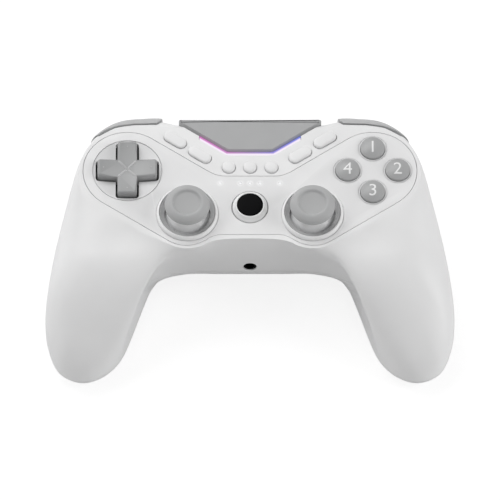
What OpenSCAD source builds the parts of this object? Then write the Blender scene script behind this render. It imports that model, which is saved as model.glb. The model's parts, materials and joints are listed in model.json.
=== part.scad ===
// Twin-grip game controller: two moulded shells, a flush faceplate, two sticks, a cross pad,
// four face buttons, shoulder buttons and triggers, with the board, motors and switches inside.
// Millimetres, +Z up, +Y away from the player. The face is level and the origin is under the middle.

/* [Body] */
// overall width over the two grips
body_w = 155; // [152:0.5:160]
// height of the flat face above the table
face_z = 40; // [38:0.5:44]
// depth of the joint between the two shells, below the face
part_drop = 22.5; // [22:0.5:23]
// height of the flat underside between the grips
under_z = 4; // [3.5:0.5:5]
// how far the grip tips drop below the level of the face
droop = 11.7; // [10:0.1:12]
// wall of the two shells
wall = 2; // [1.6:0.1:2.4]
// thickness of the flat top of the front shell
top_t = 3.4; // [3:0.1:4]
// visible gap between neighbouring mouldings
seam = 0.3; // [0.2:0.05:0.5]
// gap of a moulding to the piece that it sits on
seat = 0.15; // [0.1:0.05:0.25]
// running gap of a moving piece
run = 0.3; // [0.25:0.05:0.5]

/* [Faceplate] */
// faceplate thickness
plate_t = 2; // [1.6:0.1:2.4]
// radius of the rounded outer ends of the faceplate
plate_end_r = 16.8; // [16:0.1:17.5]
// radius of the lobes round the sticks
lobe_r = 13.3; // [13:0.1:14]
// rise of the slanted edges, in degrees
slant = 33.7; // [32:0.1:35]

/* [Pad and buttons] */
// distance of the cross pad and of the button cluster from the middle
cluster_x = 46.5; // [45:0.5:48]
// their distance in front of the back edge line
cluster_y = 20; // [19:0.5:21]
// tip to tip length of the cross pad
pad_l = 22.6; // [21:0.2:24]
// width of one arm of the cross pad
pad_w = 7.4; // [6.8:0.2:8]
// height of the cross pad over the face
pad_h = 2.6; // [2:0.1:3]
// radius of the shallow dish around the cross pad
dish_r = 13.4; // [13:0.1:14]
// depth of the dish
dish_d = 1.4; // [1:0.1:1.6]
// distance of each face button from the middle of the cluster
button_gap = 9.5; // [9:0.1:10]
// face button diameter
button_d = 9.6; // [9:0.1:10]
// height of a face button over the face
button_h = 2.2; // [1.8:0.1:2.6]
// home button diameter
home_d = 13.3; // [12.5:0.1:14]
// home lens diameter
home_lens_d = 9.8; // [9:0.1:10.4]
// distance of the home button from the middle
home_y = 4; // [3:0.5:5]
// round menu button diameter
menu_d = 5; // [4.6:0.1:5.4]
// pitch of the round menu buttons
menu_pitch = 8.1; // [7.6:0.1:8.6]
// pill button width
pill_w = 4.5; // [4:0.1:5]
// length between the two round ends of a pill button
pill_l = 5; // [4.4:0.1:5.4]
// height of the pill and menu buttons over the face
menu_h = 1; // [0.8:0.1:1.4]
// press travel of the pill, menu and home buttons
menu_travel = 0.6; // [0.4:0.1:0.7]

/* [Sticks] */
// distance of a stick from the middle
stick_x = 23.7; // [23:0.1:24.5]
// distance of a stick from the origin line
stick_y = 1; // [0:0.5:2]
// wall of the raised collar
collar_w = 1.1; // [1:0.1:1.2]
// height of the collar over the face
collar_h = 1.7; // [1.4:0.1:1.8]
// opening of the collar
well_d = 21.2; // [20.8:0.1:21.6]
// width of the grey funnel inside the collar
funnel_w = 1.3; // [1.2:0.1:1.5]
// stick cap diameter
cap_d = 17.2; // [16.8:0.1:18.4]
// height of the cap over the face
cap_h = 9; // [8.6:0.1:10]
// depth of the stick pivot below the face
pivot_drop = 9; // [8.5:0.1:10]
// stick shaft diameter
shaft_d = 4; // [3.6:0.1:4.4]

/* [Shoulders] */
// white bridge between the cover and a shoulder button
bumper_gap = 6.3; // [6:0.1:7]
// trigger pin diameter
trigger_pin_d = 3; // [2.6:0.1:3.2]
// shoulder button pin diameter
bumper_pin_d = 2; // [1.8:0.1:2.4]
// trigger blade width
trigger_w = 20; // [19:0.5:21]
// trigger reach, from its pin to the furthest point at the back
trigger_reach = 15.7; // [15:0.1:16.5]

/* [Sockets and insides] */
// bore of the audio socket
jack_d = 3.6; // [3.5:0.05:3.7]
// outside of the audio socket sleeve
jack_od = 4.8; // [4.6:0.1:5]
// depth of the audio socket below the board
jack_drop = 3.4; // [3.2:0.1:3.6]
// width of the data socket opening
usb_w = 8.4; // [8.3:0.1:8.6]
// height of the data socket opening
usb_h = 2.6; // [2.5:0.1:2.8]
// circuit board thickness
board_t = 1.6; // [1.2:0.1:1.8]
// depth of the underside of the board below the face
board_drop = 15.3; // [15:0.1:15.5]
// vibration motor diameter
motor_d = 12; // [11:0.5:12.5]
// vibration motor shaft diameter
motor_shaft_d = 1.6; // [1.5:0.1:2]
// case screw head diameter
screw_head_d = 4.4; // [4:0.1:4.8]

/* [Hidden] */
$fn = 40;
e = 0.01;
kx = body_w / 155;
pad_x = cluster_x * kx;
thumb_x = stick_x * kx;
part_z = face_z - part_drop;
board_z = face_z - board_drop;
board_top = board_z + board_t;
jack_z = board_z - jack_drop;
usb_z = board_top + usb_h / 2 + 1;
collar_d = well_d + 2 * collar_w;
throat_d = well_d - 2 * funnel_w;
tilt = atan(tan(slant) / kx);

// stations round the right half, from the middle of the back to the middle of the front:
// joint outline x and y, edge of the flat face x and y, edge of the flat underside x and y,
// then the fullness of the upper and of the lower section
ST = [
    [0, 42.6, 0, 38.5, 0, 31, 1.9, 2],
    [21, 42.8, 20, 38.5, 17, 31, 1.9, 2],
    [36, 49, 33, 39, 30, 31, 1.9, 2],
    [47.5, 48.3, 46.5, 38.5, 38, 30, 1.9, 2],
    [56, 41.5, 55.5, 36, 44, 27, 1.9, 2],
    [62, 33, 61.5, 29.3, 48, 22, 1.9, 2],
    [66.8, 23, 64.5, 20, 49, 16, 1.9, 2],
    [70.8, 9, 62.5, 11, 48, 11, 1.9, 2],
    [74, -5.5, 57.5, 5.6, 46, 7, 1.9, 2],
    [76.2, -19, 53, 2.6, 44, 4, 1.9, 2],
    [77.3, -30, 48.5, -0.4, 42, 2, 1.9, 2],
    [76.3, -40, 44.5, -3, 40, 1, 1.9, 2],
    [72, -49, 41, -5.4, 38, 0, 1.9, 2],
    [64, -52.7, 38, -7.4, 35.5, -1, 1.8, 2],
    [55.8, -50.3, 35.5, -9, 34, -0.5, 1.65, 2],
    [48.8, -43.5, 33, -10.7, 33, 1, 1.5, 2],
    [45.7, -33.5, 30.5, -12.2, 31, 4, 1.4, 1.8],
    [43.3, -22.2, 27.5, -13.5, 23.5, 5.5, 1.3, 1.5],
    [36.5, -15, 23.7, -14, 17, 4, 1.2, 1.3],
    [25, -11.6, 19, -13.2, 13, 4, 1.15, 1.3],
    [12, -11.4, 12.5, -10.4, 7, 3.5, 1.15, 1.3],
    [0, -11.4, 0, -9.7, 0, 3.5, 1.15, 1.3]];
NS = len(ST);
NC = 2 * NS - 2;
PER = 3;
NT = NC * PER;
NU = 6;
NI = 3;
droop_y0 = -14;
droop_y1 = -54;

function st(i) = let (k = (i % NC + NC) % NC) k < NS ? ST[k] : ST[NC - k];
function side(i) = let (k = (i % NC + NC) % NC) k < NS ? 1 : -1;
function at(i, c) = [side(i) * st(i)[c] * body_w / 154.6, st(i)[c + 1]];
function cubic(a, b, c, d, t) = 0.5 * (2 * b + (c - a) * t + (2 * a - 5 * b + 4 * c - d) * t * t
    + (3 * b - a - 3 * c + d) * t * t * t);
// point j of a closed outline, and the fullness there
function curve(j, c) = let (i = floor(j / PER), t = j / PER - i)
    cubic(at(i - 1, c), at(i, c), at(i + 1, c), at(i + 2, c), t);
function full(j, c) = let (i = floor(j / PER), t = j / PER - i)
    cubic(st(i - 1)[c], st(i)[c], st(i + 1)[c], st(i + 2)[c], t);
function inward(j, c) = let (d = curve(j + 1, c) - curve(j - 1, c)) [d[1], -d[0]] / norm(d);
function curve_in(j, c, w) = curve(j, c) - w * [-inward(j, c)[0], -inward(j, c)[1]];
function ease(u) = let (v = max(0, min(1, u))) v * v * (3 - 2 * v);
function drop(y) = droop * ease((droop_y0 - y) / (droop_y0 - droop_y1));
function sunk(p, z) = [p[0], p[1], z - drop(p[1])];
// the hollow keeps further off the outside where that leans in under the rim
function lean(j, cf) = max(0, 1.9 - full(j, cf));
function share(f, j, cf) = let (k = pow(sin(f), 2 / full(j, cf))) k + (1 - k) * (0.4 + 1.6 * lean(j, cf));
// one level line of the outside, f degrees along the section between an edge and the joint outline
function level(f, c, cf) = [for (j = [0 : NT - 1])
    let (a = curve(j, c), b = curve(j, 0)) a + (b - a) * pow(sin(f), 2 / full(j, cf))];
// one row of the skin: the level line, moved in square to itself
function row(f, c, cf, w, z0, z1) = let (q = level(f, c, cf)) [for (j = [0 : NT - 1])
    let (d = q[(j + 1) % NT] - q[(j + NT - 1) % NT])
    sunk(q[j] + w * share(f, j, cf) * [d[1], -d[0]] / norm(d), z0 + (z1 - z0) * (1 - cos(f)))];
function skin(c, cf, w, z0, z1, n) = [for (k = [0 : n]) each row(90 * k / n, c, cf, w, z0, z1)];
// triangles between two rows, and between a row and a middle point
function band(r, s, flip) = [for (j = [0 : NT - 1]) let (k = (j + 1) % NT)
    each flip ? [[r + j, s + k, s + j], [r + j, r + k, s + k]]
              : [[r + j, s + j, s + k], [r + j, s + k, r + k]]];
function fan(r, m, flip) = [for (j = [0 : NT - 1]) let (k = (j + 1) % NT)
    flip ? [m, r + k, r + j] : [m, r + j, r + k]];

// closed half shell: outer skin, inner skin, joint face, and the two flat ends
module half(c, cf, z_edge, z_in, up) {
    outer = skin(c, cf, 0, z_edge, part_z + (up ? seat / 2 : -seat / 2), NU);
    inner = skin(c, cf, wall, z_in, part_z + (up ? seat / 2 : -seat / 2), NI);
    n_out = len(outer);
    n_in = len(inner);
    mids = [[0, 10, z_edge], [0, 10, z_in]];
    m0 = n_out + n_in;
    polyhedron(concat(outer, inner, mids), concat(
        [for (k = [0 : NU - 1]) each band(k * NT, (k + 1) * NT, !up)],
        [for (k = [0 : NI - 1]) each band(n_out + k * NT, n_out + (k + 1) * NT, up)],
        band(NU * NT, n_out + NI * NT, !up),
        fan(0, m0, !up),
        fan(n_out, m0 + 1, up)));
}

// rounded outline from corners [x, y, radius]
function unit(v) = v / norm(v);
function corner(a, b, c, r, n) = r < e ? [b] : let (
    u = unit(a - b), v = unit(c - b), h = acos(u * v) / 2,
    m = b + unit(u + v) * r / sin(h),
    s = b + u * r / tan(h) - m, t = b + v * r / tan(h) - m,
    w0 = atan2(s[1], s[0]), dw = atan2(s[0] * t[1] - s[1] * t[0], s * t))
    [for (k = [0 : n]) m + r * [cos(w0 + dw * k / n), sin(w0 + dw * k / n)]];
function xy(p) = [p[0], p[1]];
function rounded(p, n = 8) = [for (i = [0 : len(p) - 1])
    each corner(xy(p[(i + len(p) - 1) % len(p)]), xy(p[i]), xy(p[(i + 1) % len(p)]), p[i][2], n)];
function both(p) = concat(p, [for (i = [len(p) - 1 : -1 : 0]) [-p[i][0], p[i][1], p[i][2]]]);

// faceplate outline: parallel slanted edges, round ends at the clusters, lobes below the sticks
along = [cos(tilt), sin(tilt)];
across = [-sin(tilt), cos(tilt)];
cluster = [pad_x, cluster_y];
end_hi = cluster + plate_end_r * (along + across);
end_lo = cluster + plate_end_r * (along - across);
ledge_w = 1.2;
plate_back = 17.6;
plate_front = -8;
back_x = pad_x - (cluster_y + plate_end_r / cos(tilt) - plate_back) / tan(tilt);
lobe_side = 33;
// inner flank of a lobe, tangent to the lobe circle, and where it meets the two straight edges
lobe_c = sin(lobe_side) * thumb_x + cos(lobe_side) * stick_y - lobe_r;
notch_x = (lobe_c - cos(lobe_side) * plate_front) / sin(lobe_side);
low_y0 = cluster_y - plate_end_r / cos(tilt) - pad_x * tan(tilt);
lobe_x = (lobe_c - cos(lobe_side) * low_y0) / (sin(lobe_side) + cos(lobe_side) * tan(tilt));
lobe_y = low_y0 + lobe_x * tan(tilt);
plate_half = [[back_x, plate_back, 12], [end_hi[0], end_hi[1], plate_end_r - e],
    [end_lo[0], end_lo[1], plate_end_r - e], [lobe_x, lobe_y, lobe_r - 1], [notch_x, plate_front, 8]];

module plate_outline(grow = 0) {
    offset(r = grow)
        polygon(rounded(both(plate_half)));
}

// cover outline on the face, with the corners at the back cut short
cover_y = plate_back + 10;
cover_hw = 27.2 * kx;
cover_back = ST[0][1];
cover_run = 19.6 * kx;
cover_x = cover_hw - cover_run;
cover_side_y = cover_y + cover_run * tan(tilt);
cover_half = [[cover_hw, cover_back, 0.8], [cover_hw, cover_side_y, 0.8], [cover_x, cover_y, 4]];
module cover_outline(grow = 0) {
    offset(r = grow)
        polygon(rounded(both(cover_half)));
}
bar_w = 1.2;
bar_x = cover_hw - 8;
module cover_cut() {
    cover_outline(seam / 2);
    intersection() {
        cover_outline(seam / 2 + bar_w);
        translate([-bar_x - seam / 2, 0])
            square([2 * bar_x + seam, 40]);
    }
    translate([-cover_hw - seam / 2, cover_side_y])
        square([2 * cover_hw + seam, 20]);
}

module at_sides(x, y) {
    for (s = [-1, 1])
        translate([s * x, y, 0])
            children();
}
module mirrored(s) {
    mirror([s < 0 ? 1 : 0, 0, 0])
        children();
}

// button places
button_at = [[0, button_gap], [button_gap, 0], [0, -button_gap], [-button_gap, 0]];
menu_y = plate_back + 3.8;
pill_at = [[28.4 * kx, 33.4], [19 * kx, 26.9]];
light_x = [-11.3, -3.7, 0, 3.7, 11.3];
light_y = plate_back - 3.2;
board_hole_at = [[-11.5 * kx, 10.2], [11.5 * kx, 10.2], [-37.5 * kx, 0.5], [37.5 * kx, 0.5]];
board_screw_d = 2;
pill_run = pill_w / 2 + run * 0.7;

module pill_2d(r) {
    hull()
        for (s = [-1, 1])
            translate(s * pill_l / 2 * along)
                circle(r = r);
}

// shoulder openings, in plan
module bumper_zone(grow = 0) {
    offset(delta = grow)
        polygon([[bumper_x0, 40.4], [44 * kx, 40], [51 * kx, 38.2], [58.5 * kx, 33], [75 * kx, 33],
            [75 * kx, 65], [bumper_x0 - 5, 65], [bumper_x0 - 2.4, 44]]);
}
bumper_x0 = cover_hw + bumper_gap;
bumper_lo = face_z - 13.5;
press_gap = 0.5;
blade_w = trigger_w * kx;
bay_x1 = ST[4][0] * kx - 3;
bay_x0 = bay_x1 - blade_w - 2.4;
pin_inset = 12;
trigger_pin_y = ST[2][1] - pin_inset;
trigger_pin_z = face_z - 15.4;
bay_y = trigger_pin_y + 4.4;

module front_shell() {
    color("white")
    difference() {
        union() {
            half(2, 6, face_z, face_z - top_t, true);
            screw_bosses();
        }
        screw_bores();
        translate([0, 0, face_z - plate_t - seat])
            linear_extrude(plate_t + 1)
                plate_outline(seam / 2);
        translate([0, 0, face_z - top_t - 1])
            linear_extrude(top_t + 2)
                plate_outline(-ledge_w);
        translate([0, 0, part_z - 1])
            linear_extrude(face_z)
                cover_cut();
        for (s = [-1, 1])
            mirrored(s) {
                translate([0, 0, bumper_lo - seam])
                    linear_extrude(face_z)
                        bumper_zone();
                translate([bay_x0, bay_y, part_z - 1])
                    cube([bay_x1 - bay_x0, 30, bumper_lo - part_z + 1]);
                for (p = pill_at)
                    translate([p[0], p[1], face_z - top_t - 1])
                        linear_extrude(top_t + 2)
                            pill_2d(pill_run);
            }
        for (k = [-1 : 1])
            translate([k * menu_pitch, menu_y, face_z - top_t - 1])
                cylinder(d = menu_d + 1.4 * run, h = top_t + 2);
        jack_hole();
    }
}
module jack_hole() {
    translate([0, -4, jack_z])
        rotate([90, 0, 0])
            cylinder(d = jack_od + 2 * seat, h = 20);
}

// case screws: x, y, top of the column on the back shell, foot of the column, top of the front boss
grip_screw = [-24, under_z + 7, under_z + 1, face_z - 7];
front_screw = [-5.9, part_z - 2, part_z - 6.5, face_z - 10];
screw_at = [concat(-56 * kx, grip_screw), concat(56 * kx, grip_screw),
    concat(-8.5 * kx, front_screw), concat(8.5 * kx, front_screw)];
screw_d = 2.6;
module screw_bosses() {
    for (p = screw_at)
        translate([p[0], p[1], p[2] + seat])
            cylinder(d = screw_d + 2.4, h = p[4] - p[2]);
}
module screw_bores() {
    for (p = screw_at)
        translate([p[0], p[1], p[2] - 1])
            cylinder(d = screw_d + 2 * seat, h = 11);
}
hump_w = 44;
hump_l = 17;
hump_y = 20;
module back_shell() {
    color("white")
    difference() {
        union() {
            half(4, 7, under_z, under_z + wall, false);
            translate([0, hump_y, 0])
                linear_extrude(under_z + wall / 2)
                    polygon(rounded(both([[hump_w / 2, hump_l / 2, 5], [hump_w / 2, -hump_l / 2, 5]])));
            for (p = screw_at)
                translate([p[0], p[1], p[3]])
                    cylinder(d = screw_head_d + 2.4, h = p[2] - p[3]);
            for (x = [-motor_x, motor_x])
                for (y = motor_rib_y)
                    translate([x - 5, y, under_z + 3])
                        cube([10, 1.6, motor_z - under_z - 4.5]);
        }
        for (x = [-motor_x, motor_x])
            translate([x, motor_y + motor_l + 2, motor_z])
                rotate([90, 0, 0])
                    cylinder(d = motor_d + 2 * seat, h = motor_l + 4);
        for (s = [-1, 1])
            mirrored(s)
                translate([bay_x0, bay_y, -1])
                    cube([bay_x1 - bay_x0, 30, part_z + 2]);
        for (p = screw_at) {
            translate([p[0], p[1], -1])
                cylinder(d = screw_head_d + 2 * seat, h = p[2] - 1);
            translate([p[0], p[1], 0])
                cylinder(d = screw_d + 2 * seat, h = p[2] + 1);
        }
        jack_hole();
    }
}

// plate with a dish for the pad, collars for the sticks and stepped holes for the buttons
dish_ball = (dish_r * dish_r + dish_d * dish_d) / (2 * dish_d);
pad_hole = run + 0.25;
module cross_2d(grow) {
    offset(r = 0.8)
        offset(delta = grow - 0.8) {
            square([pad_l, pad_w], center = true);
            square([pad_w, pad_l], center = true);
        }
}
module faceplate() {
    color("white")
    difference() {
        union() {
            translate([0, 0, face_z - plate_t])
                linear_extrude(plate_t)
                    plate_outline(-seam / 2);
            translate([-pad_x, cluster_y, face_z - plate_t - 1.2])
                cylinder(r = dish_r, h = 2);
            for (p = board_hole_at)
                translate([p[0], p[1], board_top + seat])
                    cylinder(d = board_screw_d + 2.2, h = face_z - 1 - board_top);
            at_sides(thumb_x, stick_y)
                translate([0, 0, face_z])
                    rotate_extrude()
                        polygon(concat([[well_d / 2 - 0.6, -1], [collar_d / 2, -1], [collar_d / 2, 0]],
                            [for (a = [0 : 15 : 90])
                                [well_d / 2 + (collar_d - well_d) / 2 * cos(a), collar_h * sin(a)]],
                            [[well_d / 2 - 0.6, collar_h]]));
        }
        translate([-pad_x, cluster_y, face_z - dish_d + dish_ball])
            sphere(r = dish_ball, $fn = 120);
        translate([-pad_x, cluster_y, face_z - 6])
            linear_extrude(8)
                cross_2d(pad_hole);
        at_sides(thumb_x, stick_y)
            translate([0, 0, face_z - 4])
                cylinder(d = well_d, h = 8);
        for (p = button_at)
            translate([pad_x + p[0], cluster_y + p[1], face_z - plate_t - 1]) {
                cylinder(d = button_d + 2 * run, h = 4);
                translate([0, 0, plate_t + 0.5])
                    cylinder(d1 = button_d + 2 * run, d2 = button_d + 2 * run + 1.4, h = 0.7);
            }
        translate([0, home_y, face_z - plate_t - 1])
            cylinder(d = home_d + 2 * run, h = 4);
        for (x = light_x)
            translate([x, light_y, face_z - plate_t - 1])
                cylinder(d = 1.3, h = 4);
        for (p = board_hole_at)
            translate([p[0], p[1], board_top - 1])
                cylinder(d = board_screw_d + 2 * seat, h = 9);
    }
}

module indicator_lenses() {
    color("white")
    for (x = light_x)
        translate([x, light_y, face_z - plate_t - 0.6])
            cylinder(d = 1.3 - 0.2, h = plate_t + 0.6);
}

// cover over the back middle: flat top, rounded back edge, and a wall down to the joint
cover_t = 2.2;
module cover_profile(grow) {
    offset(r = grow)
        polygon(rounded([[cover_y - 5, face_z, 0], [cover_back, face_z, 1.6], [cover_back, part_z + 0.6, 0],
            [cover_back - cover_t, part_z + 0.6, 0], [cover_back - cover_t, face_z - cover_t, 1],
            [cover_y - 5, face_z - cover_t, 0]]));
}
module usb_2d(grow) {
    hull()
        for (s = [-1, 1])
            translate([s * (usb_w - usb_h) / 2, 0])
                circle(d = usb_h + 2 * grow);
}
module top_cover() {
    color("darkgray")
    difference() {
        intersection() {
            translate([-cover_hw - 1, 0, 0])
                rotate([90, 0, 90])
                    linear_extrude(2 * cover_hw + 2)
                        cover_profile(0);
            linear_extrude(face_z + 1)
                cover_outline(-seam / 2);
        }
        translate([0, cover_back + 1, usb_z])
            rotate([90, 0, 0])
                linear_extrude(5)
                    usb_2d(0.5);
    }
}
module light_bar() {
    color("violet")
    translate([0, 0, face_z - cover_t])
        linear_extrude(cover_t - 0.2)
            intersection() {
                difference() {
                    cover_outline(bar_w);
                    cover_outline(0);
                }
                translate([-bar_x, 0])
                    square([2 * bar_x, 40]);
            }
}

module stick_ring() {
    color("gray")
    translate([0, stick_y, face_z])
        rotate_extrude()
            polygon([[well_d / 2 - seat, collar_h - 0.3], [well_d / 2 - seat, -2.6], [throat_d / 2, -2.6],
                [throat_d / 2, -1.2], [well_d / 2 - 0.7, collar_h - 0.3]]);
}
module left_stick_ring() {
    translate([-thumb_x, 0, 0])
        stick_ring();
}
module right_stick_ring() {
    translate([thumb_x, 0, 0])
        stick_ring();
}

// cross pad: four arms that rise towards their tips, rocking on a ball inside
pad_flange_z = face_z - 6;
pad_pivot_z = face_z - 3;
pad_ball = 4.4;
module dpad() {
    color("gray")
    translate([-pad_x, cluster_y, 0])
    difference() {
        union() {
            translate([0, 0, pad_flange_z + 1.2])
                linear_extrude(face_z + pad_h - pad_flange_z - 1.2)
                    cross_2d(0);
            translate([0, 0, pad_flange_z])
                cylinder(d = pad_l - 3, h = 1.4);
        }
        translate([0, 0, face_z + pad_h + 38.6])
            sphere(r = 40, $fn = 120);
        translate([0, 0, pad_flange_z - 1])
            cylinder(d = pad_ball + 2 * run, h = pad_pivot_z + pad_ball / 2 + run - pad_flange_z + 1);
    }
}
module dpad_pivot() {
    color("gray")
    translate([-pad_x, cluster_y, 0]) {
        translate([0, 0, pad_pivot_z])
            sphere(d = pad_ball);
        translate([0, 0, pad_flange_z - 1.6])
            cylinder(d = pad_ball - 1.6, h = pad_pivot_z - pad_flange_z + 1.6);
    }
}

// face buttons: domed caps with a flange under the plate
module face_button(i) {
    dome = 18;
    color("gray")
    translate([pad_x + button_at[i][0], cluster_y + button_at[i][1], 0]) {
        intersection() {
            translate([0, 0, face_z - plate_t - 3])
                cylinder(d = button_d, h = plate_t + 3 + button_h);
            translate([0, 0, face_z + button_h - dome])
                sphere(r = dome, $fn = 80);
        }
        translate([0, 0, face_z - plate_t - 3])
            cylinder(d = button_d + 1.8, h = 3 - seat);
    }
}
module button_north() {
    face_button(0);
}
module button_east() {
    face_button(1);
}
module button_south() {
    face_button(2);
}
module button_west() {
    face_button(3);
}

home_top = 1.9;
module home_button() {
    color("white")
    translate([0, home_y, face_z])
        rotate_extrude()
            polygon([[0, -5], [home_d / 2 + 0.8, -5], [home_d / 2 + 0.8, -plate_t - seat],
                [home_d / 2, -plate_t - seat], [home_d / 2, 0],
                [home_d / 2 - 0.3, 0.3], [home_d / 2 - 0.8, 0.6],
                [home_lens_d / 2 + 0.7, home_top - 0.2], [home_lens_d / 2 + 0.45, home_top],
                [home_lens_d / 2 + 0.1, home_top], [home_lens_d / 2 + 0.1, home_top - 1.2],
                [0, home_top - 1.2]]);
}
module home_lens() {
    color("black")
    translate([0, home_y, face_z + home_top - 1.1])
        cylinder(d = home_lens_d, h = 1.2);
}

// menu and pill buttons: short caps with a flange under the shell
module menu_button(k) {
    color("white")
    translate([k * menu_pitch, menu_y, face_z - top_t]) {
        translate([0, 0, -1.4])
            cylinder(d = menu_d, h = top_t + 1.4 + menu_h - 0.4);
        translate([0, 0, top_t + menu_h - 0.4])
            cylinder(d1 = menu_d, d2 = menu_d - 0.8, h = 0.4);
        translate([0, 0, -2.4])
            cylinder(d = menu_d + 1.6, h = 2.4 - seat);
    }
}
module menu_left() {
    menu_button(-1);
}
module menu_middle() {
    menu_button(0);
}
module menu_right() {
    menu_button(1);
}
module pill_button(s, i) {
    color("white")
    mirrored(s)
        translate([pill_at[i][0], pill_at[i][1], face_z - top_t]) {
            linear_extrude(top_t + menu_h)
                pill_2d(pill_w / 2);
            translate([0, 0, -2.4])
                linear_extrude(2.4 - seat)
                    pill_2d(pill_w / 2 + 0.7);
            translate([0, 0, -0.5])
                linear_extrude(1)
                    pill_2d(pill_w / 2 - 0.2);
        }
}
module pill_left_outer() {
    pill_button(-1, 0);
}
module pill_left_inner() {
    pill_button(-1, 1);
}
module pill_right_inner() {
    pill_button(1, 1);
}
module pill_right_outer() {
    pill_button(1, 0);
}

// stick: rubber cap with a dished top over a domed skirt, on a shaft that rocks in a yoke
pivot_z = face_z - pivot_drop;
skirt_r = throat_d / 2 + 1.7;
module stick_cap() {
    r = cap_d / 2;
    bore = shaft_d / 2 + 0.1;
    color("gray")
    translate([0, stick_y, face_z])
        rotate_extrude()
            polygon(concat([[bore, 0], [bore, cap_h - 3], [0, cap_h - 3],
                [0, cap_h - 1.2], [4.6, cap_h - 0.9], [5.6, cap_h - 0.2], [6.2, cap_h]],
                [for (a = [75 : -25 : -30]) [6.9 + (r - 6.9) * cos(a), cap_h - 2.2 + 2 * sin(a)]],
                [[r - 1.6, cap_h - 3.6], [6, cap_h - 4.2], [4.6, cap_h - 5], [3.9, cap_h - 6]],
                [for (a = [66 : -7 : 38]) [skirt_r * cos(a), skirt_r * sin(a) - pivot_drop]],
                [for (a = [38 : 7 : 66]) [(skirt_r - 1) * cos(a), (skirt_r - 1) * sin(a) - pivot_drop]]));
}
module left_stick_cap() {
    translate([-thumb_x, 0, 0])
        stick_cap();
}
module right_stick_cap() {
    translate([thumb_x, 0, 0])
        stick_cap();
}
module stick_shaft() {
    color("silver")
    translate([0, stick_y, 0]) {
        translate([0, 0, pivot_z])
            cylinder(d = shaft_d, h = face_z + cap_h - 3.2 - pivot_z);
        translate([0, 0, pivot_z])
            rotate([90, 0, 0])
                cylinder(d = 2, h = 7.4, center = true);
        translate([0, 0, pivot_z - 1.2])
            cylinder(d = shaft_d, h = 2);
    }
}
module left_stick_shaft() {
    translate([-thumb_x, 0, 0])
        stick_shaft();
}
module right_stick_shaft() {
    translate([thumb_x, 0, 0])
        stick_shaft();
}
frame_w = 17;
frame_top = face_z - 6.6;
cheek_at = frame_w / 2 - 2.5;
// yoke: a bar with a slot for the shaft, turning on two trunnions along X
module stick_yoke() {
    color("gray")
    translate([0, stick_y, pivot_z])
        difference() {
            union() {
                cube([8, 8, 3.2], center = true);
                rotate([0, 90, 0])
                    cylinder(d = 2.4, h = 2 * cheek_at + 1.6, center = true);
            }
            cube([5.2, shaft_d + 0.6, 8], center = true);
            rotate([90, 0, 0])
                cylinder(d = 2 + 0.6, h = 12, center = true);
        }
}
module left_stick_yoke() {
    translate([-thumb_x, 0, 0])
        stick_yoke();
}
module right_stick_yoke() {
    translate([thumb_x, 0, 0])
        stick_yoke();
}
// seat: carries the yoke trunnions and slides down onto the click switch
module stick_seat() {
    color("gray")
    translate([0, stick_y, 0])
        difference() {
            union() {
                for (s = [-1, 1])
                    translate([s * cheek_at - 0.7, -2.2, board_top + 1.2])
                        cube([1.4, 4.4, pivot_z + 2.4 - board_top - 1.2]);
                translate([-cheek_at - 0.7, -2.2, board_top + 0.8])
                    cube([2 * cheek_at + 1.4, 4.4, 1]);
            }
            translate([0, 0, pivot_z])
                rotate([0, 90, 0])
                    cylinder(d = 2.4 + 0.6, h = 20, center = true);
        }
}
module left_stick_seat() {
    translate([-thumb_x, 0, 0])
        stick_seat();
}
module right_stick_seat() {
    translate([thumb_x, 0, 0])
        stick_seat();
}
module stick_frame() {
    color("dimgray")
    translate([0, stick_y, 0])
        difference() {
            translate([-frame_w / 2, -frame_w / 2, board_top + seat])
                cube([frame_w, frame_w, frame_top - board_top - seat]);
            translate([-frame_w / 2 + 1.2, -frame_w / 2 + 1.2, board_top])
                cube([frame_w - 2.4, frame_w - 2.4, frame_top - board_top - 1]);
            translate([0, 0, frame_top - 2])
                cylinder(d = frame_w - 2, h = 4);
        }
}
module left_stick_frame() {
    translate([-thumb_x, 0, 0])
        stick_frame();
}
module right_stick_frame() {
    translate([thumb_x, 0, 0])
        stick_frame();
}

// shoulder button: a piece of the shell skin with two ears on a pin
ear_x = [bay_x1 - 16.8 * kx, bay_x1 - 7 * kx];
bumper_pin_y = trigger_pin_y + 0.5;
bumper_pin_z = face_z - 6.4;
key_x = bay_x1 - 12.4 * kx;
key_y = trigger_pin_y + 3.6;
key_z = face_z - 10.4;
j0 = 4;
j1 = 15;
function strip(f, w, z0) = [for (j = [j0 : j1])
    let (a = curve_in(j, 2, w * 0.4), b = curve_in(j, 0, w))
    sunk(a + (b - a) * pow(sin(f), 2 / full(j, 6)), z0 + (part_z - z0) * (1 - cos(f)))];
module skin_strip() {
    n = j1 - j0 + 1;
    rows = 6;
    outer = [for (k = [0 : rows]) each strip(10 + 70 * k / rows, 0, face_z)];
    inner = [for (k = [0 : rows]) each strip(10 + 70 * k / rows, wall + 0.4, face_z - wall - 0.4)];
    m = len(outer);
    polyhedron(concat(outer, inner), concat(
        [for (k = [0 : rows - 1]) for (j = [0 : n - 2]) let (a = k * n + j, b = a + n)
            each [[a, b + 1, a + 1], [a, b, b + 1],
                [m + a, m + a + 1, m + b + 1], [m + a, m + b + 1, m + b]]],
        [for (j = [0 : n - 2]) let (b = rows * n + j)
            each [[j, j + 1, m + j + 1], [j, m + j + 1, m + j],
                [b, m + b + 1, b + 1], [b, m + b, m + b + 1]]],
        [for (k = [0 : rows - 1]) let (a = k * n, b = a + n, c = a + n - 1, d = c + n)
            each [[a, m + b, b], [a, m + a, m + b], [c, d, m + d], [c, m + d, m + c]]]));
}
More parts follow.
